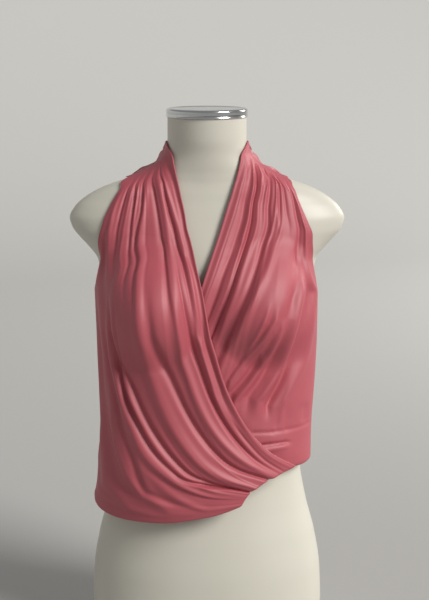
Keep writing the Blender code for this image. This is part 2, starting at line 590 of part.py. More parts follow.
def build_model():
    """Build every piece and put it in the collection."""
    for thing in list(bpy.data.objects):
        bpy.data.objects.remove(thing, do_unlink=True)
    collection = bpy.data.collections.new(COLLECTION_NAME)
    bpy.context.scene.collection.children.link(collection)
    satin = make_material("satin_jersey", "#C0707A", 0.42)
    paint = make_material("cream_paint", "#D6D2C4", 0.45)
    chrome = make_material("chromed_steel", "#C8CACC", 0.12, metallic=1.0)
    pieces = [front_right(satin), front_left(satin), back_panel(satin), dress_form(paint), neck_cap(chrome)]
    centre_on_origin(pieces)
    for piece in pieces:
        collection.objects.link(piece)


build_model()
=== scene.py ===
"""Looks of a draped wrap blouse in satin jersey, worn by a limbless dress form with a chromed neck cap."""

from __future__ import annotations

import logging
import math
from dataclasses import dataclass, field
from enum import Enum
from typing import Sequence

import bpy
import numpy as np
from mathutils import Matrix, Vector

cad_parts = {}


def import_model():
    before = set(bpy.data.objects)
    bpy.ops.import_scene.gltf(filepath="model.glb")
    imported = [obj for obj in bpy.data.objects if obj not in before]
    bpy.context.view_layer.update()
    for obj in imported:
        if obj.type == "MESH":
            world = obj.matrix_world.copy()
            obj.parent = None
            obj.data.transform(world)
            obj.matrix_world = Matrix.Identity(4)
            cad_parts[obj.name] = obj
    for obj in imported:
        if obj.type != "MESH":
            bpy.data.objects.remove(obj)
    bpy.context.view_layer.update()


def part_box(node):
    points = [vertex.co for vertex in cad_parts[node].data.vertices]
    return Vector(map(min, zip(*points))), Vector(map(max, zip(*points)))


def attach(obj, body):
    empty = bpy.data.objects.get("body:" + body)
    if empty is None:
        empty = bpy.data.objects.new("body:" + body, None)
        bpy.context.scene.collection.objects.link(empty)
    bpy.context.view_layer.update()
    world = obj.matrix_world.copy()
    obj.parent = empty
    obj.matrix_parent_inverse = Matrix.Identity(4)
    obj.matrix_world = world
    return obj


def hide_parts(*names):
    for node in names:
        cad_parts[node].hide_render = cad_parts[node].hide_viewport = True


LOG = logging.getLogger("wrap_blouse")
MM = 0.001
# Length at which the wave texture repeats when its scale is 1.
WAVE_LENGTH = 0.314
# Share of a fold's head and tail that lies inside its run.
FADE_INSIDE = 0.5
# Level in millimetres at which the form reaches farthest to the back.
DEEPEST_LEVEL = 100.0


class LightKind(Enum):
    """Kinds of studio light, with Blender's name for each."""

    DAY = "SUN"
    WINDOW = "AREA"


def ease(start: float, end: float, value: np.ndarray) -> np.ndarray:
    """Rise smoothly from 0 to 1 between two values."""
    share = np.clip((value - start) / (end - start), 0.0, 1.0)
    return share * share * (3.0 - 2.0 * share)


def smooth_curve(places: Sequence[float], values: Sequence[float], at: np.ndarray) -> np.ndarray:
    """Read a smooth curve that never overshoots its values.

    Args:
        places: Rising places of the values.
        values: The values at those places.
        at: Where to read the curve. Past its ends it keeps its end values.

    Returns:
        The value at each place asked for.
    """
    places = np.asarray(places, float)
    values = np.asarray(values, float)
    at = np.clip(at, places[0], places[-1])
    steps = np.diff(places)
    slopes = np.diff(values) / steps
    same_way = slopes[:-1] * slopes[1:] > 0.0
    before = np.where(same_way, slopes[:-1], 1.0)
    after = np.where(same_way, slopes[1:], 1.0)
    weight = (2.0 * steps[1:] + steps[:-1]) / (3.0 * (steps[1:] + steps[:-1]))
    middle = np.where(same_way, before * after / (weight * after + (1.0 - weight) * before), 0.0)
    tangents = np.concatenate((slopes[:1], middle, slopes[-1:]))
    cell = np.clip(np.searchsorted(places, at, side="right") - 1, 0, len(steps) - 1)
    share = (at - places[cell]) / steps[cell]
    rise = share * share * (3.0 - 2.0 * share)
    leave = share * (1.0 - share) ** 2 * steps[cell] * tangents[cell]
    arrive = share * share * (share - 1.0) * steps[cell] * tangents[cell + 1]
    return values[cell] + (values[cell + 1] - values[cell]) * rise + leave + arrive


def read_table(rows: Sequence[Sequence[float]], at: np.ndarray) -> list[np.ndarray]:
    """Read every column of a table after its first along smooth curves."""
    columns = list(zip(*rows))
    return [smooth_curve(columns[0], column, at) for column in columns[1:]]


@dataclass(frozen=True)
class BodyShape:
    """The dress form's surface and the smooth surface that the cloth follows over it, in millimetres.

    Each form section is a level, half width, depth to the front, depth to the back and squareness. Each
    drape section is a level, half width on the wearer's right, on the left, both depths and squareness.
    """

    form_sections: tuple[tuple[float, ...], ...] = (
        (0.0, 157.0, 92.0, 100.0, 2.2),
        (50.0, 166.0, 101.0, 115.0, 2.2),
        (100.0, 164.0, 102.0, 118.0, 2.15),
        (150.0, 156.0, 99.0, 110.0, 2.1),
        (200.0, 143.0, 93.0, 97.0, 2.1),
        (250.0, 134.0, 88.0, 85.0, 2.1),
        (290.0, 131.0, 86.0, 80.0, 2.1),
        (340.0, 135.0, 88.0, 84.0, 2.1),
        (400.0, 141.0, 92.0, 93.0, 2.1),
        (450.0, 146.0, 95.0, 101.0, 2.1),
        (500.0, 149.0, 92.0, 106.0, 2.1),
        (530.0, 150.0, 86.0, 107.0, 2.1),
        (550.0, 154.0, 81.0, 106.0, 2.0),
        (568.0, 167.0, 75.0, 103.6, 1.95),
        (581.0, 179.0, 70.0, 100.9, 1.9),
        (594.0, 189.0, 65.0, 97.3, 1.9),
        (608.0, 193.0, 60.0, 92.9, 1.9),
        (624.0, 185.0, 55.0, 87.0, 1.85),
        (636.0, 172.0, 51.5, 82.0, 1.8),
        (647.0, 154.0, 49.0, 77.0, 1.8),
        (655.5, 134.0, 47.0, 72.0, 1.8),
        (663.0, 110.0, 46.0, 68.0, 1.8),
        (672.0, 89.0, 46.0, 64.0, 1.85),
        (683.0, 71.0, 47.0, 60.0, 1.95),
        (700.0, 58.0, 49.0, 57.0, 2.0),
        (720.0, 55.0, 53.0, 54.0, 2.0),
        (748.0, 55.0, 55.0, 55.0, 2.0),
    )
    drape_sections: tuple[tuple[float, ...], ...] = (
        (180.0, 147.0, 149.0, 107.0, 112.0, 2.2),
        (216.0, 154.0, 150.0, 112.0, 114.0, 2.2),
        (261.0, 155.0, 149.0, 114.0, 109.0, 2.2),
        (291.0, 152.0, 149.0, 113.0, 104.0, 2.2),
        (328.0, 149.0, 150.0, 111.0, 102.0, 2.2),
        (358.0, 149.0, 152.0, 110.0, 102.0, 2.2),
        (402.0, 150.0, 154.5, 109.0, 103.0, 2.15),
        (446.0, 152.0, 156.0, 108.0, 106.0, 2.1),
        (495.0, 155.0, 156.0, 103.0, 110.0, 2.1),
        (532.0, 157.0, 155.0, 95.0, 111.0, 2.1),
        (560.0, 160.0, 156.0, 86.0, 110.0, 2.1),
    )
    drape_top: float = 575.0
    drape_full: float = 520.0
    clearance: float = 3.0
    bust_offset: float = 88.0
    bust_level: float = 487.0
    bust_spread: float = 85.0
    bust_rise: float = 105.0
    bust_fall: float = 80.0
    form_bust: float = 38.0
    cloth_bust: float = 34.0
    bust_turn: tuple[float, float] = (0.0, 0.35)
    fine_turn: float = 0.012
    turn_reach: float = 0.12
    fine_reach: float = 0.5
    level_reach: float = 14.0
    reach_start: float = 560.0
    reach_full: float = 490.0

    def bust(self, x: np.ndarray, level: np.ndarray, height: np.ndarray) -> np.ndarray:
        """Give how far the bust stands out to the front."""
        reach = np.where(level > self.bust_level, self.bust_rise, self.bust_fall)
        sideways = (np.abs(x) - self.bust_offset) / self.bust_spread
        distance = sideways**2 + ((level - self.bust_level) / reach) ** 2
        return height * np.clip(1.0 - distance, 0.0, None) ** 2

    def ring(
        self, angle: np.ndarray, level: np.ndarray, sizes: Sequence[np.ndarray], bust: np.ndarray
    ) -> np.ndarray:
        """Give points on level outlines of the body.

        Args:
            angle: Angles round the body in radians, 0 at the front and rising towards the wearer's left.
            level: Heights of the points.
            sizes: Half width, depth to the front, depth to the back and squareness at each point.
            bust: Height of the bust at each point.

        Returns:
            The points, with x, y and z in the last axis.
        """
        half_width, front, back, squareness = sizes
        power = 2.0 / squareness
        x = half_width * np.sign(np.sin(angle)) * np.abs(np.sin(angle)) ** power
        depth = np.where(np.cos(angle) > 0.0, front, back)
        y = -depth * np.sign(np.cos(angle)) * np.abs(np.cos(angle)) ** power
        y = y - self.bust(x, level, bust) * ease(*self.bust_turn, np.cos(angle))
        return np.stack((x, y, level + 0.0 * x), axis=-1)

    def form_point(self, angle: np.ndarray, level: np.ndarray) -> np.ndarray:
        """Give points on the surface of the dress form."""
        return self.ring(angle, level, read_table(self.form_sections, level), self.form_bust)

    def drape_sizes(self, at_left: np.ndarray, level: np.ndarray) -> list[np.ndarray]:
        """Give half width, depth to the front, depth to the back and squareness of the cloth's surface."""
        half_width, front, back, squareness = read_table(self.form_sections, level)
        right, left, free_front, free_back, free_squareness = read_table(self.drape_sections, level)
        free = ease(self.drape_top, self.drape_full, level)
        free_width = np.where(at_left, left, right)
        pairs = zip((half_width, front, back), (free_width, free_front, free_back))
        sizes = [close * (1.0 - free) + (hanging - self.clearance) * free for close, hanging in pairs]
        return [*sizes, squareness * (1.0 - free) + free_squareness * free]

    def turn_at(self, x: np.ndarray, level: np.ndarray) -> tuple[np.ndarray, np.ndarray]:
        """Give the angle, at the front, of the points x to the side, and their share of the half width."""
        half_width, _, _, squareness = self.drape_sizes(x > 0.0, level)
        share = np.clip(np.abs(x) / half_width, 0.0, 1.0)
        return np.sign(x) * np.arcsin(share ** (squareness / 2.0)), share

    def drape_point(self, angle: np.ndarray, level: np.ndarray) -> np.ndarray:
        """Give points on the smooth surface under the cloth, close on the shoulders and free below."""
        free = ease(self.drape_top, self.drape_full, level)
        bust = self.form_bust * (1.0 - free) + self.cloth_bust * free
        return self.ring(angle, level, self.drape_sizes(np.sin(angle) > 0.0, level), bust)

    def drape_outwards(self, angle: np.ndarray, level: np.ndarray) -> np.ndarray:
        """Give the unit directions away from the surface, evened out below the shoulders as cloth does."""
        share = ease(self.reach_start, self.reach_full, level)
        turn = self.fine_turn + (self.turn_reach - self.fine_turn) * share
        rise = self.fine_reach + (self.level_reach - self.fine_reach) * share
        round_step = self.drape_point(angle + turn, level) - self.drape_point(angle - turn, level)
        rise_step = self.drape_point(angle, level + rise) - self.drape_point(angle, level - rise)
        outwards = np.cross(round_step, rise_step)
        return outwards / np.linalg.norm(outwards, axis=-1, keepdims=True)


@dataclass(frozen=True)
class Fold:
    """One ridge or trough of a panel.

    It runs from start to end along the panel. Its five places are shares of the panel's width at even
    steps from start to end. Its height is in millimetres and below 0 in a trough, its half width is a
    share of the panel's width, and its lean makes the side towards the last edge wider. It rises over
    its head and fades out over its tail, as shares of the panel's length.
    """

    start: float
    end: float
    places: tuple[float, float, float, float, float]
    height: float
    half_width: float
    lean: float = 0.0
    head: float = 0.10
    tail: float = 0.14

    def relief(self, along: np.ndarray, across: np.ndarray) -> np.ndarray:
        """Give the height of the fold at each point of the panel."""
        stations = np.linspace(self.start, self.end, len(self.places))
        offset = across - smooth_curve(stations, self.places, along)
        width = self.half_width * np.where(offset > 0.0, 1.0 + self.lean, 1.0 - self.lean)
        fade_in = ease(self.start - self.head, self.start + FADE_INSIDE * self.head, along)
        fade_out = 1.0 - ease(self.end - FADE_INSIDE * self.tail, self.end + self.tail, along)
        return self.height * fade_in * fade_out * np.exp(-((offset / width) ** 2))


@dataclass(frozen=True)
class Crease:
    """A short ridge or trough that crosses the folds.

    Its first and last ends are shares of the panel's length and width. Its height, its half width and the
    panel's size, by which those shares become lengths, are in millimetres.
    """

    first: tuple[float, float]
    last: tuple[float, float]
    height: float
    half_width: float
    size: tuple[float, float] = (410.0, 270.0)

    def relief(self, along: np.ndarray, across: np.ndarray) -> np.ndarray:
        """Give the height of the crease at each point of the panel."""
        run = (np.array(self.last) - self.first) * self.size
        length = float(np.linalg.norm(run))
        offset = np.stack((along - self.first[0], across - self.first[1]), axis=-1) * self.size
        ahead = offset @ run / length
        aside = (offset[..., 0] * run[1] - offset[..., 1] * run[0]) / length
        rise = ease(-self.half_width, self.half_width, ahead)
        fall = ease(self.half_width, -self.half_width, ahead - length)
        return self.height * rise * fall * np.exp(-((aside / self.half_width) ** 2))


@dataclass(frozen=True)
class Cut:
    """Cuts across a panel, from the shoulder down.

    Each row is the share of the panel's length, then the angle and level of its first edge, of two lines
    between and of its last edge. The lines lie at the given places across the panel.
    """

    places: tuple[float, float, float, float]
    rows: tuple[tuple[float, ...], ...]
    side: tuple[float, float] = (math.radians(55.0), math.radians(80.0))
    neck: tuple[float, float] = (680.0, 700.0)
    outline: tuple[float, float] = (0.8, 0.98)

    def lay_out(
        self, along: np.ndarray, across: np.ndarray, body: BodyShape
    ) -> tuple[np.ndarray, np.ndarray]:
        """Give the angle, in radians, and the level of each point.

        Between the rows the lines run straight as seen from the front or back, and by their angles at
        the sides and the neck.

        Args:
            along: Shares of the length, one for each row of points.
            across: Shares of the width, one for each column of points.
            body: The surface on which the panel lies.

        Returns:
            The angles and the levels.
        """
        table = np.array(self.rows)
        turns, levels = np.radians(table[:, 1::2]), table[:, 2::2]
        sideways = body.drape_point(turns, levels)[..., 0]
        spread = []
        for columns in (turns, levels, sideways):
            lines = np.stack([smooth_curve(table[:, 0], line, along) for line in columns.T], axis=-1)
            spread.append(np.array([smooth_curve(self.places, line, across) for line in lines]))
        turn, level, x = spread
        from_middle = np.where(np.cos(turn) > 0.0, np.abs(turn), math.pi - turn)
        straight, share = body.turn_at(x, level)
        straight = np.where(np.cos(turn) > 0.0, straight, math.pi - straight)
        at_side = np.maximum(ease(*self.side, from_middle), ease(*self.outline, share))
        by_turn = np.maximum(at_side, ease(*self.neck, level))
        return straight + (turn - straight) * by_turn, level


RIGHT_CUT = Cut(
    places=(0.0, 0.3, 0.6, 1.0),
    rows=(
        (0.00, -80.0, 715.0, -80.0, 692.0, -80.0, 677.0, -80.0, 663.0),
        (0.03, -52.7, 699.7, -42.9, 663.4, -45.8, 654.1, -52.0, 643.0),
        (0.06, -38.9, 685.3, -30.0, 650.1, -38.2, 640.3, -48.4, 626.2),
        (0.10, -25.5, 666.7, -24.0, 632.1, -34.0, 620.6, -49.0, 604.9),
        (0.15, -14.6, 642.9, -19.9, 609.6, -34.2, 596.3, -59.7, 576.1),
        (0.20, -10.3, 619.1, -19.7, 587.0, -39.3, 569.4, -76.5, 537.0),
        (0.24, -8.9, 600.2, -20.2, 568.3, -40.5, 550.0, -86.0, 509.0),
        (0.28, -7.6, 581.2, -20.6, 549.5, -41.5, 530.7, -91.0, 502.0),
        (0.36, -4.5, 545.3, -19.6, 517.6, -40.6, 494.7, -91.0, 440.0),
        (0.44, -1.9, 509.7, -18.2, 484.9, -39.4, 453.3, -91.0, 385.0),
        (0.52, 0.9, 473.8, -15.0, 446.6, -37.0, 408.5, -91.0, 326.0),
        (0.60, 3.8, 437.0, -10.4, 407.3, -32.0, 366.7, -91.0, 264.0),
        (0.68, 7.2, 398.5, -5.9, 369.8, -24.9, 328.5, -91.0, 196.5),
        (0.76, 12.4, 361.6, -0.9, 334.5, -15.9, 295.2, -52.0, 186.0),
        (0.84, 20.3, 326.7, 5.2, 302.8, -5.9, 267.1, -23.0, 187.0),
        (0.92, 31.9, 295.2, 14.4, 275.1, 4.6, 248.9, -4.0, 197.0),
        (1.00, 49.0, 271.0, 28.0, 254.0, 19.5, 240.0, 13.5, 213.0),
    ),
)
LEFT_CUT = Cut(
    places=(0.0, 0.33, 0.66, 1.0),
    rows=(
        (0.00, 80.0, 715.0, 80.0, 692.0, 80.0, 677.0, 80.0, 663.0),
        (0.03, 53.2, 701.4, 60.0, 680.1, 62.0, 667.5, 54.4, 648.0),
        (0.06, 41.2, 688.1, 45.4, 667.9, 48.0, 656.4, 48.6, 635.3),
        (0.10, 28.3, 671.7, 31.6, 652.5, 38.8, 642.1, 46.3, 621.9),
        (0.15, 15.7, 650.1, 23.9, 631.4, 33.8, 622.4, 47.0, 605.6),
        (0.20, 10.5, 629.1, 20.3, 611.0, 32.8, 602.4, 52.5, 587.8),
        (0.28, 6.0, 596.2, 18.6, 578.7, 34.2, 570.8, 70.0, 552.0),
        (0.36, 2.4, 563.8, 16.0, 547.2, 34.2, 541.1, 83.5, 515.0),
        (0.44, -1.5, 531.6, 12.0, 516.6, 31.6, 512.1, 91.0, 502.0),
        (0.52, -6.0, 500.4, 7.1, 485.3, 28.4, 481.6, 91.0, 462.0),
        (0.60, -10.6, 468.6, 2.0, 452.8, 25.5, 447.9, 91.0, 425.0),
        (0.68, -15.5, 435.3, -2.7, 419.8, 22.6, 412.0, 91.0, 388.0),
        (0.76, -21.0, 400.5, -6.8, 385.8, 19.9, 378.1, 91.0, 354.0),
        (0.84, -27.9, 366.6, -10.4, 351.6, 18.0, 344.6, 91.0, 320.0),
        (0.92, -37.2, 331.8, -13.2, 315.0, 17.2, 308.0, 91.0, 285.0),
        (1.00, -50.0, 284.0, -15.0, 266.0, 17.0, 258.0, 91.0, 251.5),
    ),
)

BACK_CUT = Cut(
    places=(0.0, 0.5, 0.75, 1.0),
    rows=(
        (0.00, 180.0, 713.0, 80.5, 714.0, 80.5, 686.0, 80.5, 663.0),
        (0.025, 180.0, 706.0, 92.0, 707.0, 90.0, 681.0, 118.0, 659.0),
        (0.05, 180.0, 698.0, 104.0, 700.0, 101.0, 676.0, 130.0, 650.0),
        (0.12, 180.0, 674.0, 126.0, 676.0, 126.0, 654.0, 138.0, 625.0),
        (0.20, 180.0, 643.0, 145.0, 644.0, 137.0, 622.0, 137.0, 598.0),
        (0.28, 180.0, 608.0, 152.0, 607.0, 137.0, 589.0, 128.0, 569.0),
        (0.38, 180.0, 562.0, 147.0, 560.0, 128.0, 547.0, 108.0, 524.0),
        (0.44, 180.0, 534.0, 145.0, 532.0, 123.0, 521.0, 99.0, 505.0),
        (0.50, 180.0, 505.0, 144.0, 503.0, 119.0, 501.0, 91.15, 502.0),
        (0.62, 180.0, 445.0, 144.0, 443.0, 118.0, 440.0, 91.15, 438.0),
        (0.75, 180.0, 378.0, 144.0, 377.0, 118.0, 374.0, 91.15, 371.0),
        (0.88, 180.0, 301.0, 144.0, 300.0, 118.0, 299.0, 91.15, 298.0),
        (0.96, 180.0, 249.0, 144.0, 249.0, 118.0, 249.0, 91.15, 249.0),
        (1.00, 180.0, 222.3, 144.0, 222.3, 118.0, 222.3, 91.15, 222.3),
    ),
)
# Each hem is given by its level at some angles round the body.
RIGHT_HEM = ((-92.0, 206.0), (-70.0, 198.0), (-45.0, 195.0), (-20.0, 197.0), (0.0, 207.0), (20.0, 226.0))
LEFT_HEM = ((-60.0, 290.0), (0.0, 274.0), (45.0, 266.0), (92.0, 261.0))
BACK_HEM = ((88.0, 261.0), (135.0, 250.0), (180.0, 232.0), (225.0, 214.0), (272.0, 206.0))

RIGHT_FOLDS = (
    Fold(0.00, 0.45, (0.100, 0.060, 0.040, 0.035, 0.040), -1.8, 0.026),
    Fold(0.06, 0.51, (0.184, 0.128, 0.091, 0.100, 0.108), 2.3, 0.030, lean=0.2),
    Fold(0.04, 0.41, (0.203, 0.197, 0.161, 0.141, 0.138), -2.8, 0.018),
    Fold(0.02, 0.47, (0.256, 0.244, 0.252, 0.257, 0.285), 2.5, 0.042, tail=0.16),
    Fold(0.02, 0.42, (0.346, 0.326, 0.318, 0.307, 0.308), -3.0, 0.023, lean=0.5, tail=0.16),
    Fold(0.34, 0.45, (0.208, 0.207, 0.206, 0.205, 0.204), -1.4, 0.012, head=0.06, tail=0.06),
    Fold(0.01, 0.36, (0.419, 0.475, 0.506, 0.509, 0.515), 2.4, 0.036, tail=0.20),
    Fold(0.01, 0.35, (0.502, 0.506, 0.543, 0.541, 0.541), -2.8, 0.018, tail=0.10),
    Fold(0.03, 0.11, (0.570, 0.573, 0.575, 0.577, 0.579), 2.2, 0.015, head=0.04),
    Fold(0.02, 0.25, (0.645, 0.609, 0.605, 0.600, 0.623), -2.2, 0.018, head=0.04),
    Fold(0.00, 0.25, (0.690, 0.680, 0.675, 0.680, 0.690), 2.0, 0.034),
    Fold(0.00, 0.18, (0.790, 0.780, 0.770, 0.765, 0.760), -2.0, 0.022),
    Fold(0.07, 0.21, (0.892, 0.872, 0.855, 0.841, 0.831), 2.0, 0.034),
    Fold(0.14, 0.37, (0.929, 0.876, 0.833, 0.802, 0.788), -3.0, 0.028, tail=0.12),
    Fold(0.37, 0.95, (0.776, 0.714, 0.665, 0.660, 0.560), -7.4, 0.015, lean=-0.3),
    Fold(0.43, 0.87, (0.785, 0.730, 0.696, 0.699, 0.693), 4.6, 0.022),
    Fold(0.39, 0.77, (0.816, 0.798, 0.764, 0.753, 0.808), -4.8, 0.015),
    Fold(0.53, 0.87, (0.688, 0.651, 0.649, 0.654, 0.630), 4.6, 0.020, head=0.16),
    Fold(0.46, 0.94, (0.703, 0.630, 0.612, 0.605, 0.542), -4.8, 0.016, head=0.16),
    Fold(0.42, 0.97, (0.518, 0.495, 0.493, 0.486, 0.438), 4.2, 0.042, head=0.22),
    Fold(0.45, 1.00, (0.453, 0.394, 0.366, 0.340, 0.240), -5.4, 0.025, head=0.18),
    Fold(0.48, 0.94, (0.290, 0.270, 0.261, 0.242, 0.194), 3.8, 0.034, head=0.16),
    Fold(0.50, 0.90, (0.200, 0.165, 0.151, 0.143, 0.135), -5.0, 0.019, head=0.16),
    Fold(0.52, 0.70, (0.136, 0.111, 0.107, 0.102, 0.111), 2.8, 0.020),
    Fold(0.55, 0.72, (0.067, 0.058, 0.051, 0.048, 0.057), -2.6, 0.017),
    Fold(0.50, 0.98, (0.015, 0.015, 0.015, 0.025, 0.035), 1.6, 0.018),
    Fold(0.82, 0.99, (0.075, 0.075, 0.080, 0.090, 0.100), -2.0, 0.013, head=0.05, tail=0.05),
    Fold(0.58, 0.77, (0.812, 0.808, 0.799, 0.808, 0.833), 3.0, 0.016),
    Fold(0.56, 0.70, (0.836, 0.833, 0.829, 0.829, 0.841), -3.4, 0.016),
    Fold(0.60, 0.76, (0.875, 0.864, 0.865, 0.881, 0.899), 3.4, 0.018),
    Fold(0.58, 0.69, (0.905, 0.900, 0.895, 0.890, 0.890), -2.6, 0.014),
    Fold(0.64, 0.84, (0.762, 0.764, 0.783, 0.817, 0.864), 3.0, 0.030),
    Fold(0.70, 0.92, (0.730, 0.740, 0.757, 0.785, 0.827), 2.4, 0.024),
    Fold(0.74, 0.87, (0.723, 0.718, 0.714, 0.712, 0.712), -2.6, 0.016),
    Fold(0.34, 0.62, (0.872, 0.866, 0.862, 0.856, 0.848), -2.4, 0.014),
    Fold(0.38, 0.60, (0.912, 0.906, 0.900, 0.894, 0.888), 2.4, 0.018),
    Fold(0.36, 0.68, (0.948, 0.944, 0.938, 0.932, 0.920), -3.4, 0.013),
)
LEFT_FOLDS = (
    Fold(0.02, 0.55, (0.110, 0.105, 0.095, 0.090, 0.090), 1.8, 0.045),
    Fold(0.15, 0.53, (0.184, 0.199, 0.197, 0.185, 0.193), -2.4, 0.032),
    Fold(0.04, 0.32, (0.245, 0.256, 0.267, 0.268, 0.286), 2.8, 0.028),
    Fold(0.01, 0.58, (0.335, 0.291, 0.317, 0.312, 0.309), -3.4, 0.018),
    Fold(0.01, 0.56, (0.430, 0.364, 0.385, 0.377, 0.384), 3.0, 0.032),
    Fold(0.02, 0.62, (0.572, 0.505, 0.510, 0.464, 0.439), -3.2, 0.028),
    Fold(0.01, 0.11, (0.621, 0.580, 0.538, 0.497, 0.456), 2.0, 0.020, head=0.04),
    Fold(0.03, 0.21, (0.665, 0.640, 0.617, 0.588, 0.558), 1.8, 0.016, head=0.04),
    Fold(0.02, 0.22, (0.700, 0.690, 0.670, 0.650, 0.625), -2.4, 0.018, head=0.04),
    Fold(0.00, 0.15, (0.780, 0.770, 0.760, 0.750, 0.740), -1.8, 0.022, head=0.04),
    Fold(0.20, 0.67, (0.634, 0.619, 0.565, 0.520, 0.473), 3.8, 0.036),
    Fold(0.28, 0.46, (0.720, 0.730, 0.735, 0.735, 0.730), 5.0, 0.130, head=0.16, tail=0.16),
    Fold(0.52, 0.72, (0.690, 0.655, 0.610, 0.570, 0.530), -3.8, 0.020),
    Fold(0.51, 0.72, (0.722, 0.678, 0.628, 0.582, 0.545), 3.4, 0.015, head=0.05, tail=0.06),
    Fold(0.50, 0.65, (0.669, 0.652, 0.633, 0.611, 0.586), 2.8, 0.015, head=0.05, tail=0.06),
    Fold(0.54, 0.62, (0.761, 0.745, 0.728, 0.710, 0.691), 2.4, 0.014, head=0.05, tail=0.06),
    Fold(0.54, 0.76, (0.750, 0.712, 0.672, 0.628, 0.570), -4.8, 0.018),
    Fold(0.50, 0.79, (0.790, 0.755, 0.705, 0.655, 0.590), 4.6, 0.018),
    Fold(0.38, 0.78, (0.842, 0.832, 0.814, 0.778, 0.708), 6.0, 0.020, tail=0.07),
    Fold(0.46, 0.77, (0.790, 0.782, 0.758, 0.718, 0.660), -4.6, 0.018, tail=0.08),
    Fold(0.06, 0.45, (0.901, 0.860, 0.843, 0.832, 0.811), -3.0, 0.022, tail=0.06),
    Fold(0.42, 0.79, (0.882, 0.870, 0.852, 0.818, 0.765), -9.0, 0.015, tail=0.06),
    Fold(0.08, 0.79, (0.940, 0.905, 0.900, 0.888, 0.825), 4.4, 0.014, tail=0.06),
    Fold(0.79, 0.84, (0.905, 0.906, 0.906, 0.907, 0.908), -2.6, 0.010, head=0.02, tail=0.02),
    Fold(0.81, 0.86, (0.858, 0.858, 0.857, 0.856, 0.856), -1.8, 0.010, head=0.04, tail=0.02),
    Fold(0.80, 0.86, (0.825, 0.820, 0.815, 0.812, 0.810), -1.6, 0.009, head=0.04, tail=0.02),
)
LEFT_CREASES = (
    Crease((0.885, 0.700), (0.875, 0.800), -1.6, 2.2),
    Crease((0.875, 0.790), (0.850, 0.930), -1.6, 2.2),
    Crease((0.920, 0.745), (0.900, 0.866), -4.0, 1.8),
    Crease((0.935, 0.755), (0.913, 0.862), 1.6, 2.6),
)
BACK_FOLDS = (
    Fold(0.03, 0.26, (0.090, 0.095, 0.105, 0.115, 0.120), 2.2, 0.016, head=0.04),
    Fold(0.02, 0.34, (0.140, 0.142, 0.150, 0.158, 0.160), -3.0, 0.014, head=0.04),
    Fold(0.03, 0.52, (0.178, 0.185, 0.196, 0.202, 0.205), 3.4, 0.020, head=0.04),
    Fold(0.02, 0.40, (0.225, 0.226, 0.232, 0.240, 0.246), -3.2, 0.015, head=0.04),
    Fold(0.04, 0.36, (0.262, 0.266, 0.270, 0.276, 0.285), 2.4, 0.018, head=0.04),
    Fold(0.03, 0.30, (0.715, 0.718, 0.724, 0.730, 0.733), 2.6, 0.018, head=0.04),
    Fold(0.02, 0.46, (0.755, 0.752, 0.756, 0.764, 0.770), -3.3, 0.015, head=0.04),
    Fold(0.03, 0.40, (0.800, 0.796, 0.798, 0.806, 0.812), 3.2, 0.020, head=0.04),
    Fold(0.02, 0.33, (0.850, 0.846, 0.845, 0.848, 0.852), -2.8, 0.014, head=0.04),
    Fold(0.03, 0.24, (0.905, 0.898, 0.892, 0.888, 0.886), 2.2, 0.016, head=0.04),
    Fold(0.38, 0.92, (0.095, 0.118, 0.132, 0.143, 0.150), -3.8, 0.026),
    Fold(0.44, 1.02, (0.150, 0.165, 0.184, 0.196, 0.204), 3.6, 0.024),
    Fold(0.52, 1.04, (0.236, 0.240, 0.250, 0.262, 0.272), -3.8, 0.022, lean=0.3),
    Fold(0.48, 1.04, (0.300, 0.306, 0.316, 0.326, 0.334), 3.8, 0.034),
    Fold(0.50, 1.04, (0.372, 0.376, 0.388, 0.400, 0.410), -3.6, 0.026, lean=-0.3),
    Fold(0.60, 1.04, (0.430, 0.436, 0.446, 0.456, 0.462), 2.6, 0.024),
    Fold(0.46, 1.04, (0.500, 0.502, 0.500, 0.506, 0.514), -3.4, 0.024, lean=0.3),
    Fold(0.42, 1.04, (0.566, 0.562, 0.556, 0.556, 0.560), 3.8, 0.036),
    Fold(0.56, 1.02, (0.630, 0.626, 0.616, 0.610, 0.610), -3.4, 0.020),
    Fold(0.48, 1.04, (0.690, 0.684, 0.672, 0.664, 0.660), 3.6, 0.030, lean=-0.2),
    Fold(0.44, 1.04, (0.752, 0.746, 0.734, 0.724, 0.716), -3.8, 0.024),
    Fold(0.52, 1.04, (0.806, 0.798, 0.786, 0.772, 0.764), 3.4, 0.022),
    Fold(0.36, 0.96, (0.900, 0.886, 0.866, 0.850, 0.840), -3.8, 0.028),
    Fold(0.60, 0.98, (0.930, 0.922, 0.908, 0.900, 0.896), 2.4, 0.018),
)


def linear_colour(hex_colour: str) -> tuple[float, float, float, float]:
    """Turn an sRGB hex code into a linear colour."""
    channels = [int(hex_colour[i:i + 2], 16) / 255 for i in (1, 3, 5)]
    linear = [c / 12.92 if c <= 0.04045 else ((c + 0.055) / 1.055) ** 2.4 for c in channels]
    return (linear[0], linear[1], linear[2], 1.0)


def set_inputs(tree: bpy.types.NodeTree, node: bpy.types.Node, inputs: dict[str | int, object]) -> None:
    """Give each of a node's inputs its value, or link it to the output socket given for it."""
    for name, value in inputs.items():
        if isinstance(value, bpy.types.NodeSocket):
            tree.links.new(value, node.inputs[name])
        else:
            node.inputs[name].default_value = value


def add_node(
    tree: bpy.types.NodeTree, kind: str, inputs: dict[str | int, object], **settings: str
) -> bpy.types.Node:
    """Add a shader node.

    Args:
        tree: The node tree that gets it.
        kind: The node's Blender type.
        inputs: For each input, a value or the output socket to link to it.
        settings: Values for the node's own properties.

    Returns:
        The new node.
    """
    node = tree.nodes.new(kind)
    for name, value in settings.items():
        setattr(node, name, value)
    set_inputs(tree, node, inputs)
    return node


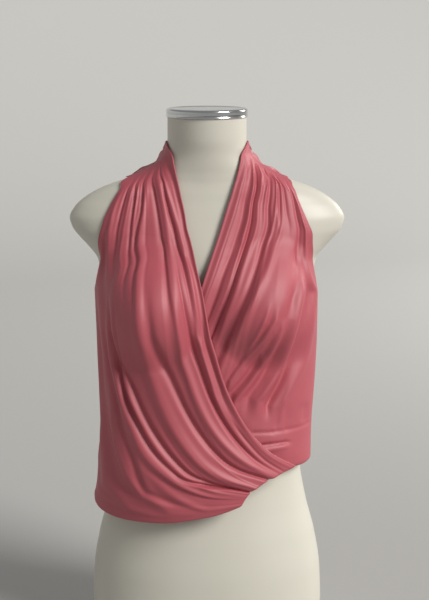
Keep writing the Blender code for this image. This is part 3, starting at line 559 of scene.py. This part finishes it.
def new_material(name: str) -> tuple[bpy.types.Material, bpy.types.NodeTree, bpy.types.Node]:
    """Make an empty node material and give it with its tree and its Principled shader."""
    material = bpy.data.materials.new(name)
    material.use_nodes = True
    tree = material.node_tree
    return material, tree, tree.nodes["Principled BSDF"]


@dataclass(frozen=True)
class Clouds:
    """Soft uneven clouds that a finish varies by."""

    size_mm: float
    detail: float

    def amount(self, tree: bpy.types.NodeTree, place: bpy.types.NodeSocket) -> bpy.types.NodeSocket:
        """Give the clouds' strength at each place, whose coordinates are in metres."""
        inputs = {"Vector": place, "Scale": 1.0 / (self.size_mm * MM), "Detail": self.detail}
        return add_node(tree, "ShaderNodeTexNoise", inputs).outputs["Fac"]

    def mix(
        self, tree: bpy.types.NodeTree, place: bpy.types.NodeSocket, colours: tuple[str, str]
    ) -> bpy.types.NodeSocket:
        """Mix two colours, given as sRGB hex codes, by the clouds."""
        first, second = (linear_colour(colour) for colour in colours)
        inputs = {"Factor": self.amount(tree, place), 6: first, 7: second}
        return add_node(tree, "ShaderNodeMix", inputs, data_type="RGBA").outputs["Result"]


@dataclass(frozen=True)
class ViscoseSatinJersey:
    """Dusty rose viscose jersey with a satin face: broad soft highlights on the folds, deep rose troughs."""

    colours: tuple[str, str] = ("#B6535F", "#AC4A56")
    clouds: Clouds = Clouds(45.45, 3.0)
    roughness: float = 0.55
    shine: float = 0.75
    sheen: float = 0.06
    sheen_roughness: float = 0.4
    sheen_colour: str = "#F0B0B8"
    # Real wales lie 0.3 mm apart. They are drawn coarser, so that they show at all.
    wale_mm: float = 0.55
    wale_depth_mm: float = 0.03
    wale_waver: float = 0.4
    wale_strength: float = 0.5

    def material(self) -> bpy.types.Material:
        """Make the cloth's material on its cut coordinates."""
        material, tree, shader = new_material("viscose satin jersey")
        place = add_node(tree, "ShaderNodeUVMap", {}, uv_map="cut").outputs["UV"]
        stripes = {"Vector": place, "Scale": WAVE_LENGTH / (self.wale_mm * MM), "Distortion": self.wale_waver}
        wales = add_node(tree, "ShaderNodeTexWave", stripes, wave_type="BANDS", bands_direction="X")
        relief = {
            "Height": wales.outputs["Fac"],
            "Distance": self.wale_depth_mm * MM,
            "Strength": self.wale_strength,
        }
        looks = {
            "Base Color": self.clouds.mix(tree, place, self.colours),
            "Normal": add_node(tree, "ShaderNodeBump", relief).outputs["Normal"],
            "Roughness": self.roughness,
            "Specular IOR Level": self.shine,
            "Sheen Weight": self.sheen,
            "Sheen Roughness": self.sheen_roughness,
            "Sheen Tint": linear_colour(self.sheen_colour),
        }
        set_inputs(tree, shader, looks)
        return material


@dataclass(frozen=True)
class PaintedFibreglass:
    """Cream satin paint on fibreglass: an even soft sheen, faintly uneven from sanding by hand."""

    colours: tuple[str, str] = ("#D3D1C6", "#CBC8BC")
    clouds: Clouds = Clouds(111.1, 4.0)
    roughness: float = 0.42
    sanding: Clouds = Clouds(33.33, 2.0)
    sanding_depth_mm: float = 0.25
    sanding_strength: float = 0.3

    def material(self) -> bpy.types.Material:
        """Make the form's paint."""
        material, tree, shader = new_material("fibreglass painted")
        place = add_node(tree, "ShaderNodeTexCoord", {}).outputs["Object"]
        relief = {
            "Height": self.sanding.amount(tree, place),
            "Distance": self.sanding_depth_mm * MM,
            "Strength": self.sanding_strength,
        }
        looks = {
            "Base Color": self.clouds.mix(tree, place, self.colours),
            "Normal": add_node(tree, "ShaderNodeBump", relief).outputs["Normal"],
            "Roughness": self.roughness,
        }
        set_inputs(tree, shader, looks)
        return material


@dataclass(frozen=True)
class ChromedSteel:
    """Polished chrome on pressed steel: clear reflections with fine brushed smears on the rim."""

    colour: str = "#D4D6D8"
    roughness: float = 0.10
    smear_roughness: float = 0.24
    smears: Clouds = Clouds(16.67, 3.0)

    def material(self) -> bpy.types.Material:
        """Make the cap's metal."""
        material, tree, shader = new_material("chromed steel")
        place = add_node(tree, "ShaderNodeTexCoord", {}).outputs["Object"]
        spread = {
            "Value": self.smears.amount(tree, place),
            "To Min": self.roughness,
            "To Max": self.smear_roughness,
        }
        looks = {
            "Roughness": add_node(tree, "ShaderNodeMapRange", spread).outputs["Result"],
            "Base Color": linear_colour(self.colour),
            "Metallic": 1.0,
        }
        set_inputs(tree, shader, looks)
        return material


@dataclass(frozen=True)
class MattePaint:
    """Flat pale paint on the studio's sweep: no shine, so that it stays even from every side."""

    colour: str = "#ACACAA"
    roughness: float = 0.9

    def material(self) -> bpy.types.Material:
        """Make the backdrop's paint."""
        material, tree, shader = new_material("matt studio paint")
        set_inputs(tree, shader, {"Base Color": linear_colour(self.colour), "Roughness": self.roughness})
        return material


def grid_mesh(name: str, skins: Sequence[np.ndarray], uv: np.ndarray) -> bpy.types.Mesh:
    """Make a closed wall between two grids of points, in millimetres.

    Args:
        name: Name of the mesh.
        skins: The outer and the inner grid, with rows, columns and x, y, z.
        uv: For each point of a grid, its place on the flat cut in metres.

    Returns:
        The closed mesh, shaded smooth.
    """
    outer, inner = skins
    rows, columns = outer.shape[:2]
    count = rows * columns
    verts = np.concatenate((outer.reshape(-1, 3), inner.reshape(-1, 3))) * MM
    index = np.arange(count).reshape(rows, columns)
    a, b, c, d = index[:-1, :-1], index[1:, :-1], index[1:, 1:], index[:-1, 1:]
    top = np.stack((a, b, c, d), axis=-1).reshape(-1, 4)
    bottom = np.stack((a, d, c, b), axis=-1).reshape(-1, 4) + count
    rim = np.concatenate((index[:, 0], index[-1, 1:], index[-2::-1, -1], index[0, -2:0:-1]))
    ahead = np.roll(rim, -1)
    side = np.stack((rim, rim + count, ahead + count, ahead), axis=-1)
    faces = np.concatenate((top, bottom, side))
    towards = np.cross(outer[1, 0] - outer[0, 0], outer[0, 1] - outer[0, 0])
    if np.dot(towards, outer[0, 0] - inner[0, 0]) < 0.0:
        faces = faces[:, ::-1]
    mesh = bpy.data.meshes.new(name)
    mesh.vertices.add(len(verts))
    mesh.vertices.foreach_set("co", verts.ravel())
    mesh.loops.add(faces.size)
    mesh.loops.foreach_set("vertex_index", faces.ravel())
    mesh.polygons.add(len(faces))
    mesh.polygons.foreach_set("loop_start", np.arange(0, faces.size, 4))
    mesh.update(calc_edges=True)
    layer = mesh.uv_layers.new(name="cut")
    flat = np.concatenate((uv.reshape(-1, 2), uv.reshape(-1, 2)))
    layer.data.foreach_set("uv", flat[faces.ravel()].ravel())
    mesh.validate()
    mesh.shade_smooth()
    return mesh


def ring_mesh(name: str, rings: np.ndarray, based: bool = True, sharp: float = math.pi) -> bpy.types.Mesh:
    """Join closed rings of points into a mesh and fill the last ring.

    Args:
        name: Name of the mesh.
        rings: The rings, with rows, columns and x, y, z in metres. Each runs anticlockwise from above.
        based: Whether the first ring is filled too.
        sharp: Angle in radians above which an edge stays sharp.

    Returns:
        The mesh, shaded smooth.
    """
    index = np.arange(rings.shape[0] * rings.shape[1]).reshape(rings.shape[:2])
    ahead = np.roll(index, -1, axis=1)
    walls = np.stack((index[:-1], ahead[:-1], ahead[1:], index[1:]), axis=-1).reshape(-1, 4)
    faces = [*walls.tolist(), index[-1].tolist()]
    if based:
        faces.append(index[0, ::-1].tolist())
    mesh = bpy.data.meshes.new(name)
    mesh.from_pydata(rings.reshape(-1, 3).tolist(), [], faces)
    mesh.shade_smooth()
    mesh.set_sharp_from_angle(angle=sharp)
    return mesh


def turned(profile: Sequence[tuple[float, float]], sides: int) -> np.ndarray:
    """Turn an outline of radius and level round the z axis into rings of points."""
    turns = np.linspace(0.0, 2.0 * math.pi, sides, endpoint=False)
    radius, level = np.array(profile).T
    flat = radius[:, None, None] * np.stack((np.cos(turns), np.sin(turns)), axis=-1)
    height = np.broadcast_to(level[:, None, None], (*flat.shape[:2], 1))
    return np.concatenate((flat, height), axis=-1)


def place_piece(mesh: bpy.types.Mesh, material: bpy.types.Material, node: str) -> bpy.types.Object:
    """Place a mesh as a piece of the object, in the stead of a solid.

    Args:
        mesh: The piece's mesh, whose name it takes.
        material: Its finish.
        node: The solid's node.

    Returns:
        The piece.
    """
    mesh.materials.append(material)
    piece = bpy.data.objects.new(mesh.name, mesh)
    bpy.context.scene.collection.objects.link(piece)
    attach(piece, "root")
    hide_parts(node)
    LOG.info("built %s with %d faces", piece.name, len(mesh.polygons))
    return piece


def distances(points: np.ndarray, axis: int) -> np.ndarray:
    """Give how far each point of a grid lies from its first row or column, measured over the cloth."""
    steps = np.linalg.norm(np.diff(points, axis=axis), axis=-1).cumsum(axis=axis)
    return np.concatenate((0.0 * np.take(steps, [0], axis=axis), steps), axis=axis)


@dataclass
class ClothPanel:
    """A panel of the blouse: a thin shell over its solid's form, with its folds raised and sunk in it.

    Lengths are in millimetres, and only the flat cut is in metres. The pairs named along or across are
    where a change starts and ends, as shares of the panel's length or width. The pairs of the fine folds
    are the bounds between which chance picks.
    """

    node: str
    cut: Cut
    folds: tuple[Fold | Crease, ...]
    hem: tuple[tuple[float, float], ...]
    cells: tuple[int, int]
    flat: tuple[float, float]
    body: BodyShape = field(default_factory=BodyShape)
    wall: float = 0.7
    edge_wall: float = 1.5
    edge_reach: float = 3.0
    fold_room: float = 4.0
    shoulder_share: float = 0.5
    shoulder_along: tuple[float, float] = (0.0, 0.25)
    gather_along: tuple[float, float] = (0.0, 0.06)
    seam_across: tuple[float, float] = (0.85, 1.0)
    trough_round: float = 0.8
    hem_roll: float = 6.0
    hem_turn: float = math.radians(150.0)
    fine_folds: int = 40
    fine_height: float = 0.3
    fine_start: tuple[float, float] = (-0.1, 0.8)
    fine_length: tuple[float, float] = (0.25, 0.6)
    fine_place: tuple[float, float] = (0.02, 0.98)
    fine_drift: float = 0.008
    fine_width: tuple[float, float] = (0.008, 0.022)
    edge_bead: float = 0.6
    bead_reach: float = 1.6
    bead_along: tuple[float, float] = (0.0, 0.04)
    seed: int = 1

    def steps(self) -> tuple[np.ndarray, np.ndarray]:
        """Give the shares of the length and of the width at which points lie."""
        return np.linspace(0.0, 1.0, self.cells[0] + 1), np.linspace(0.0, 1.0, self.cells[1] + 1)

    def lay_out(self, along: np.ndarray, across: np.ndarray) -> tuple[np.ndarray, np.ndarray]:
        """Give the angle and the level of each point."""
        return self.cut.lay_out(along, across, self.body)

    def relief(self, along: np.ndarray, across: np.ndarray, deeper: np.ndarray | float = 0.0) -> np.ndarray:
        """Add up the folds, with fine uneven ones between them.

        Args:
            along: Shares of the length of the points.
            across: Shares of their width.
            deeper: How far troughs may also sink below the base surface.

        Returns:
            The height over the base surface at each point, which fades out at the gathered shoulder.
        """
        total = sum(one.relief(along, across) for one in self.folds)
        total = total + self.fine_relief(along, across)
        shoulder = self.shoulder_share + (1.0 - self.shoulder_share) * ease(*self.shoulder_along, along)
        height = self.fold_room * shoulder + deeper + total
        rounded = 0.5 * (height + np.sqrt(height * height + self.trough_round**2)) - deeper
        return rounded * ease(*self.gather_along, along)

    def fine_relief(self, along: np.ndarray, across: np.ndarray) -> np.ndarray:
        """Add up many slight folds, uneven in place, length and height."""
        chance = np.random.default_rng(self.seed)
        total = 0.0 * along
        for _ in range(self.fine_folds):
            start = chance.uniform(*self.fine_start)
            end = start + chance.uniform(*self.fine_length)
            first = chance.uniform(*self.fine_place)
            drift = chance.normal(0.0, self.fine_drift) * np.arange(1.0, 5.0)
            height = self.fine_height * chance.normal(0.0, 1.0)
            width = chance.uniform(*self.fine_width)
            places = tuple(first + step for step in (0.0, *drift))
            total = total + Fold(start, end, places, height, width).relief(along, across)
        return total

    def lift(self, along: np.ndarray, across: np.ndarray, angle: np.ndarray, level: np.ndarray) -> np.ndarray:
        """Give the height of the cloth over its smooth surface."""
        return self.relief(along, across)

    def skins(self) -> tuple[np.ndarray, np.ndarray, np.ndarray]:
        """Give the outer points, the inner points and the places on the flat cut, in metres."""
        along, across = self.steps()
        angle, level = self.lay_out(along, across)
        along_grid, across_grid = np.meshgrid(along, across, indexing="ij")
        lift = self.lift(along_grid, across_grid, angle, level)
        hem_angles, hem_levels = zip(*self.hem)
        roll_level = smooth_curve(hem_angles, hem_levels, np.degrees(angle)) + self.hem_roll
        held = np.maximum(level, roll_level)
        outwards = self.body.drape_outwards(angle, held)
        points = self.body.drape_point(angle, held) + outwards * (self.body.clearance + lift)[..., None]
        turn = np.clip((roll_level - level) / self.hem_roll, 0.0, self.hem_turn)[..., None]
        down = np.array((0.0, 0.0, -1.0))
        outer = points - outwards * self.hem_roll * (1.0 - np.cos(turn)) + down * self.hem_roll * np.sin(turn)
        direction = outwards * np.cos(turn) + down * np.sin(turn)
        from_side, from_top = distances(outer, 1), distances(outer, 0)
        thickness = self.wall + (self.edge_wall - self.wall) * (1.0 - ease(0.0, self.edge_reach, from_side))
        bead = self.edge_bead * np.exp(-(((from_side - self.bead_reach) / self.bead_reach) ** 2))
        outer = outer + direction * (bead * ease(*self.bead_along, along_grid))[..., None]
        inner = outer - direction * (thickness + bead)[..., None]
        return outer, inner, np.stack((from_side, from_top), axis=-1) * MM

    def build(self, shift: np.ndarray, material: bpy.types.Material) -> bpy.types.Object:
        """Args:
            shift: How far the frame's origin lies from the body's axis.
            material: The cloth's finish.

        Returns:
            The panel's object.
        """
        outer, inner, uv = self.skins()
        mesh = grid_mesh(self.node + "_cloth", (outer + shift, inner + shift), uv)
        cloth = place_piece(mesh, material, self.node)
        return cloth


@dataclass
class UpperFront(ClothPanel):
    """The wearer's right front, which crosses over the other one and is swept to the far waist.

    Its overlap is how far it is raised where it crosses, and deep is how far its troughs sink there.
    """

    overlap: float = 9.0
    deep: float = 4.0
    crossing_along: tuple[float, float] = (0.18, 0.42)
    side_across: tuple[float, float] = (0.75, 0.95)
    side_along: tuple[float, float] = (0.62, 0.72)
    seam_across: tuple[float, float] = (0.92, 1.0)
    seam_along: tuple[float, float] = (0.66, 0.74)

    def lift(self, along: np.ndarray, across: np.ndarray, angle: np.ndarray, level: np.ndarray) -> np.ndarray:
        """Raise the panel over the lower front, and lay it down at its seams."""
        at_side = ease(*self.side_across, across) * (1.0 - ease(*self.side_along, along))
        crossing = ease(*self.crossing_along, along) * (1.0 - at_side)
        near_seam = ease(*self.seam_across, across) * (1.0 - ease(*self.seam_along, along))
        return self.overlap * crossing + self.relief(along, across, self.deep * crossing) * (1.0 - near_seam)


@dataclass
class LowerFront(ClothPanel):
    """The wearer's left front, whose folds end above a smooth band at the waist.

    Cover and flare_beside are in degrees beside the upper front's edge, and sink_levels are heights.
    """

    upper_cut: Cut = RIGHT_CUT
    cover: tuple[float, float] = (2.0, 14.0)
    sink: float = 8.0
    sink_levels: tuple[float, float] = (400.0, 470.0)
    deep: float = 5.0
    deep_along: tuple[float, float] = (0.42, 0.55)
    deep_across: tuple[float, float] = (0.68, 0.78)
    flare: float = 11.0
    flare_along: tuple[float, float] = (0.84, 1.02)
    flare_across: tuple[float, float] = (0.74, 0.94)
    flare_beside: tuple[float, float] = (0.0, 18.0)
    seam_across: tuple[float, float] = (0.87, 1.0)

    def beside(self, angle: np.ndarray, level: np.ndarray) -> np.ndarray:
        """Give how far each point lies to the side of the upper front's edge, in degrees."""
        rows = self.upper_cut.rows[::-1]
        edge = smooth_curve([row[2] for row in rows], [row[1] for row in rows], level)
        return np.degrees(angle) - edge

    def lift(self, along: np.ndarray, across: np.ndarray, angle: np.ndarray, level: np.ndarray) -> np.ndarray:
        """Sink the panel beneath the upper front, end its folds at the band and flare the band."""
        beside = self.beside(angle, level)
        covered = ease(*self.cover, -beside)
        sunk = self.sink * covered * (1.0 - ease(*self.sink_levels, level))
        flared = self.flare * ease(*self.flare_along, along) * ease(*self.flare_beside, beside)
        flared = flared * (1.0 - ease(*self.flare_across, across))
        deeper = self.deep * ease(*self.deep_along, along) * ease(*self.deep_across, across)
        near_seam = ease(*self.seam_across, across)
        return self.relief(along, across, deeper) * (1.0 - near_seam) * (1.0 - covered) + flared - sunk


@dataclass
class BackPanel(ClothPanel):
    """The back, with the neckline at the nape, both armholes and the hem that falls to one side."""

    hem_level: float = 232.0
    slope_along: tuple[float, float] = (0.3, 1.0)

    def steps(self) -> tuple[np.ndarray, np.ndarray]:
        """Give the shares of the length, and of the width from one side to the other."""
        return np.linspace(0.0, 1.0, self.cells[0] + 1), np.linspace(-1.0, 1.0, self.cells[1] + 1)

    def lay_out(self, along: np.ndarray, across: np.ndarray) -> tuple[np.ndarray, np.ndarray]:
        """Mirror the half cut about the middle of the back and slope its hem."""
        angle, level = self.cut.lay_out(along, np.abs(across), self.body)
        angle = np.where(across[None, :] < 0.0, angle, 2.0 * math.pi - angle)
        hem_angles, hem_levels = zip(*self.hem)
        slope = smooth_curve(hem_angles, hem_levels, np.degrees(angle)) - self.hem_level
        return angle, level + slope * ease(*self.slope_along, along)[:, None]

    def lift(self, along: np.ndarray, across: np.ndarray, angle: np.ndarray, level: np.ndarray) -> np.ndarray:
        """Raise the folds away from the seams."""
        near_seam = ease(*self.seam_across, np.abs(across))
        return self.relief(along, (across + 1.0) / 2.0) * (1.0 - near_seam)


@dataclass
class DressForm:
    """The limbless torso in painted fibreglass."""

    body: BodyShape = field(default_factory=BodyShape)
    cells: int = 180
    rings: int = 260
    height: float = 748.0
    sharp: float = math.radians(50.0)

    def build(self, shift: np.ndarray, material: bpy.types.Material) -> bpy.types.Object:
        """Loft the torso, close its base and its neck, and dress it."""
        levels = np.linspace(0.0, self.height, self.rings)
        angles = np.linspace(0.0, 2.0 * math.pi, self.cells, endpoint=False)
        points = self.body.form_point(*np.meshgrid(angles, levels)) + shift
        mesh = ring_mesh("dress_form_shell", points * MM, sharp=self.sharp)
        return place_piece(mesh, material, "dress_form")


@dataclass
class NeckCap:
    """The pressed metal cap on the neck, with a rolled rim, a dished top and a rolled foot."""

    radius: float = 57.0
    base: float = 748.3
    height: float = 12.0
    rim: float = 3.2
    rim_turn: float = math.radians(120.0)
    rim_steps: int = 12
    dish: float = 0.8
    dish_share: float = 0.5
    dish_edge: float = 7.68
    waist: float = 0.4
    waist_levels: tuple[float, float] = (5.4, 2.2)
    foot: float = 1.4
    foot_turns: tuple[float, float] = (math.radians(10.0), math.radians(-90.0))
    foot_steps: int = 8
    cells: int = 160
    sharp: float = math.radians(60.0)

    def profile(self) -> list[tuple[float, float]]:
        """Give the outline from the top to the underside, as radius and level."""
        top = self.base + self.height
        dished = top - self.dish
        points = [(self.radius * self.dish_share, dished), (self.radius - self.dish_edge, dished)]
        for turn in np.linspace(self.rim_turn, 0.0, self.rim_steps):
            reach, rise = self.rim * math.cos(turn), self.rim * math.sin(turn)
            points.append((self.radius - self.rim + reach, top - self.rim + rise))
        points += [(self.radius - self.waist, self.base + level) for level in self.waist_levels]
        for turn in np.linspace(*self.foot_turns, self.foot_steps):
            reach, rise = self.foot * math.cos(turn), self.foot * math.sin(turn)
            points.append((self.radius - self.foot + reach, self.base + self.foot + rise))
        return points

    def build(self, shift: np.ndarray, material: bpy.types.Material) -> bpy.types.Object:
        """Turn the profile round the neck's axis and dress it."""
        rings = turned(self.profile()[::-1], self.cells) + shift
        mesh = ring_mesh("neck_cap_metal", rings * MM, sharp=self.sharp)
        return place_piece(mesh, material, "neck_cap")


@dataclass
class Studio:
    """A round pale floor that curves up into a low wall, daylight from the right, a window and the room.

    Lengths are in metres. The line of each light is where it stands and the point that it looks at.
    """

    middle: tuple[float, float] = (4.0, -7.0)
    reach: float = 14.0
    sweep_radius: float = 3.0
    wall_height: float = 3.4
    curve_steps: int = 16
    sides: int = 128
    room_colour: str = "#E9E9EA"
    room_strength: float = 0.31
    day_colour: str = "#FFFCF7"
    day_strength: float = 3.05
    day_line: tuple[tuple[float, ...], ...] = ((3.2, -2.3, 2.6), (0.0, 0.0, 0.0))
    day_width: float = math.radians(26.0)
    window_power: float = 80.0
    window_line: tuple[tuple[float, ...], ...] = ((2.9, 2.4, 1.9), (0.9, 2.8, 0.0))
    window_size: float = 1.4

    def build(self) -> None:
        """Build the sweep, both lights and the room."""
        self.build_sweep()
        self.build_light(LightKind.DAY, self.day_strength, self.day_line, angle=self.day_width)
        self.build_light(LightKind.WINDOW, self.window_power, self.window_line, size=self.window_size)
        world = bpy.data.worlds.new("room")
        bpy.context.scene.world = world
        world.use_nodes = True
        background = world.node_tree.nodes["Background"]
        background.inputs["Color"].default_value = linear_colour(self.room_colour)
        background.inputs["Strength"].default_value = self.room_strength
        LOG.info("built the studio")

    def outline(self) -> list[tuple[float, float]]:
        """Give the reach and height of the sweep, from the edge of its curve to the top of its wall."""
        centre = self.reach - self.sweep_radius
        turns = np.linspace(0.0, math.pi / 2.0, self.curve_steps + 1)
        curve = [
            (centre + self.sweep_radius * math.sin(turn), self.sweep_radius * (1.0 - math.cos(turn)))
            for turn in turns
        ]
        return [*curve, (self.reach, self.wall_height)]

    def build_sweep(self) -> None:
        """Turn the floor and the wall round the middle of the studio, which lies in front of the object."""
        mesh = ring_mesh("sweep", turned(self.outline()[::-1], self.sides) + (*self.middle, 0.0), based=False)
        mesh.materials.append(MattePaint().material())
        sweep = bpy.data.objects.new("sweep", mesh)
        bpy.context.scene.collection.objects.link(sweep)

    def build_light(
        self, kind: LightKind, energy: float, line: tuple[tuple[float, ...], ...], **sizes: float
    ) -> None:
        """Build one light.

        Args:
            kind: What kind of light it is.
            energy: Its power or strength.
            line: Where it stands and the point that it looks at.
            sizes: The light's own sizes.
        """
        name = kind.name.lower()
        light = bpy.data.lights.new(name, kind.value)
        light.energy = energy
        light.color = linear_colour(self.day_colour)[:3]
        for size_name, value in sizes.items():
            setattr(light, size_name, value)
        lamp = bpy.data.objects.new(name, light)
        bpy.context.scene.collection.objects.link(lamp)
        place, target = line
        lamp.location = place
        aim = np.array(target) - place
        tilt = math.atan2(math.hypot(aim[0], aim[1]), -aim[2])
        lamp.rotation_euler = (tilt, 0.0, math.atan2(aim[1], aim[0]) - math.pi / 2.0)


@dataclass(frozen=True)
class PhotoCamera:
    """The camera of the photograph: level with the neck and tilted down, in metres and degrees."""

    place: tuple[float, float, float] = (0.0, -2.19, 0.897)
    tilt: float = 10.5
    lens_mm: float = 132.2
    sensor_mm: float = 36.0
    shift_x: float = 0.0175

    def build(self) -> bpy.types.Object:
        """Put the camera in the scene and look through it."""
        data = bpy.data.cameras.new("camera")
        data.sensor_fit = "HORIZONTAL"
        data.sensor_width = self.sensor_mm
        data.lens = self.lens_mm
        data.shift_x = self.shift_x
        camera = bpy.data.objects.new("camera", data)
        bpy.context.scene.collection.objects.link(camera)
        camera.location = self.place
        camera.rotation_euler = (math.radians(90.0 - self.tilt), 0.0, 0.0)
        bpy.context.scene.camera = camera
        return camera


def main() -> None:
    """Build the scene in order: the form, its cap, the panels of cloth, then the studio and camera."""
    logging.basicConfig(level=logging.INFO, format="%(message)s")
    bpy.context.scene.view_settings.view_transform = "Standard"
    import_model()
    _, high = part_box("dress_form")
    back = BodyShape().form_point(np.array([math.pi]), np.array([DEEPEST_LEVEL]))[0, 1]
    shift = np.array((0.0, high[1] / MM - back, 0.0))
    cloth = ViscoseSatinJersey().material()
    DressForm().build(shift, PaintedFibreglass().material())
    NeckCap().build(shift, ChromedSteel().material())
    panels: tuple[ClothPanel, ...] = (
        UpperFront("front_right", RIGHT_CUT, RIGHT_FOLDS, RIGHT_HEM, (260, 150), (0.37, 0.77), seed=3),
        LowerFront(
            "front_left", LEFT_CUT, LEFT_FOLDS + LEFT_CREASES, LEFT_HEM, (230, 140), (0.34, 0.50), seed=5
        ),
        BackPanel("back_panel", BACK_CUT, BACK_FOLDS, BACK_HEM, (200, 190), (0.45, 0.57), seed=7),
    )
    for panel in panels:
        panel.build(shift, cloth)
    Studio().build()
    PhotoCamera().build()


if __name__ == "__main__":
    main()
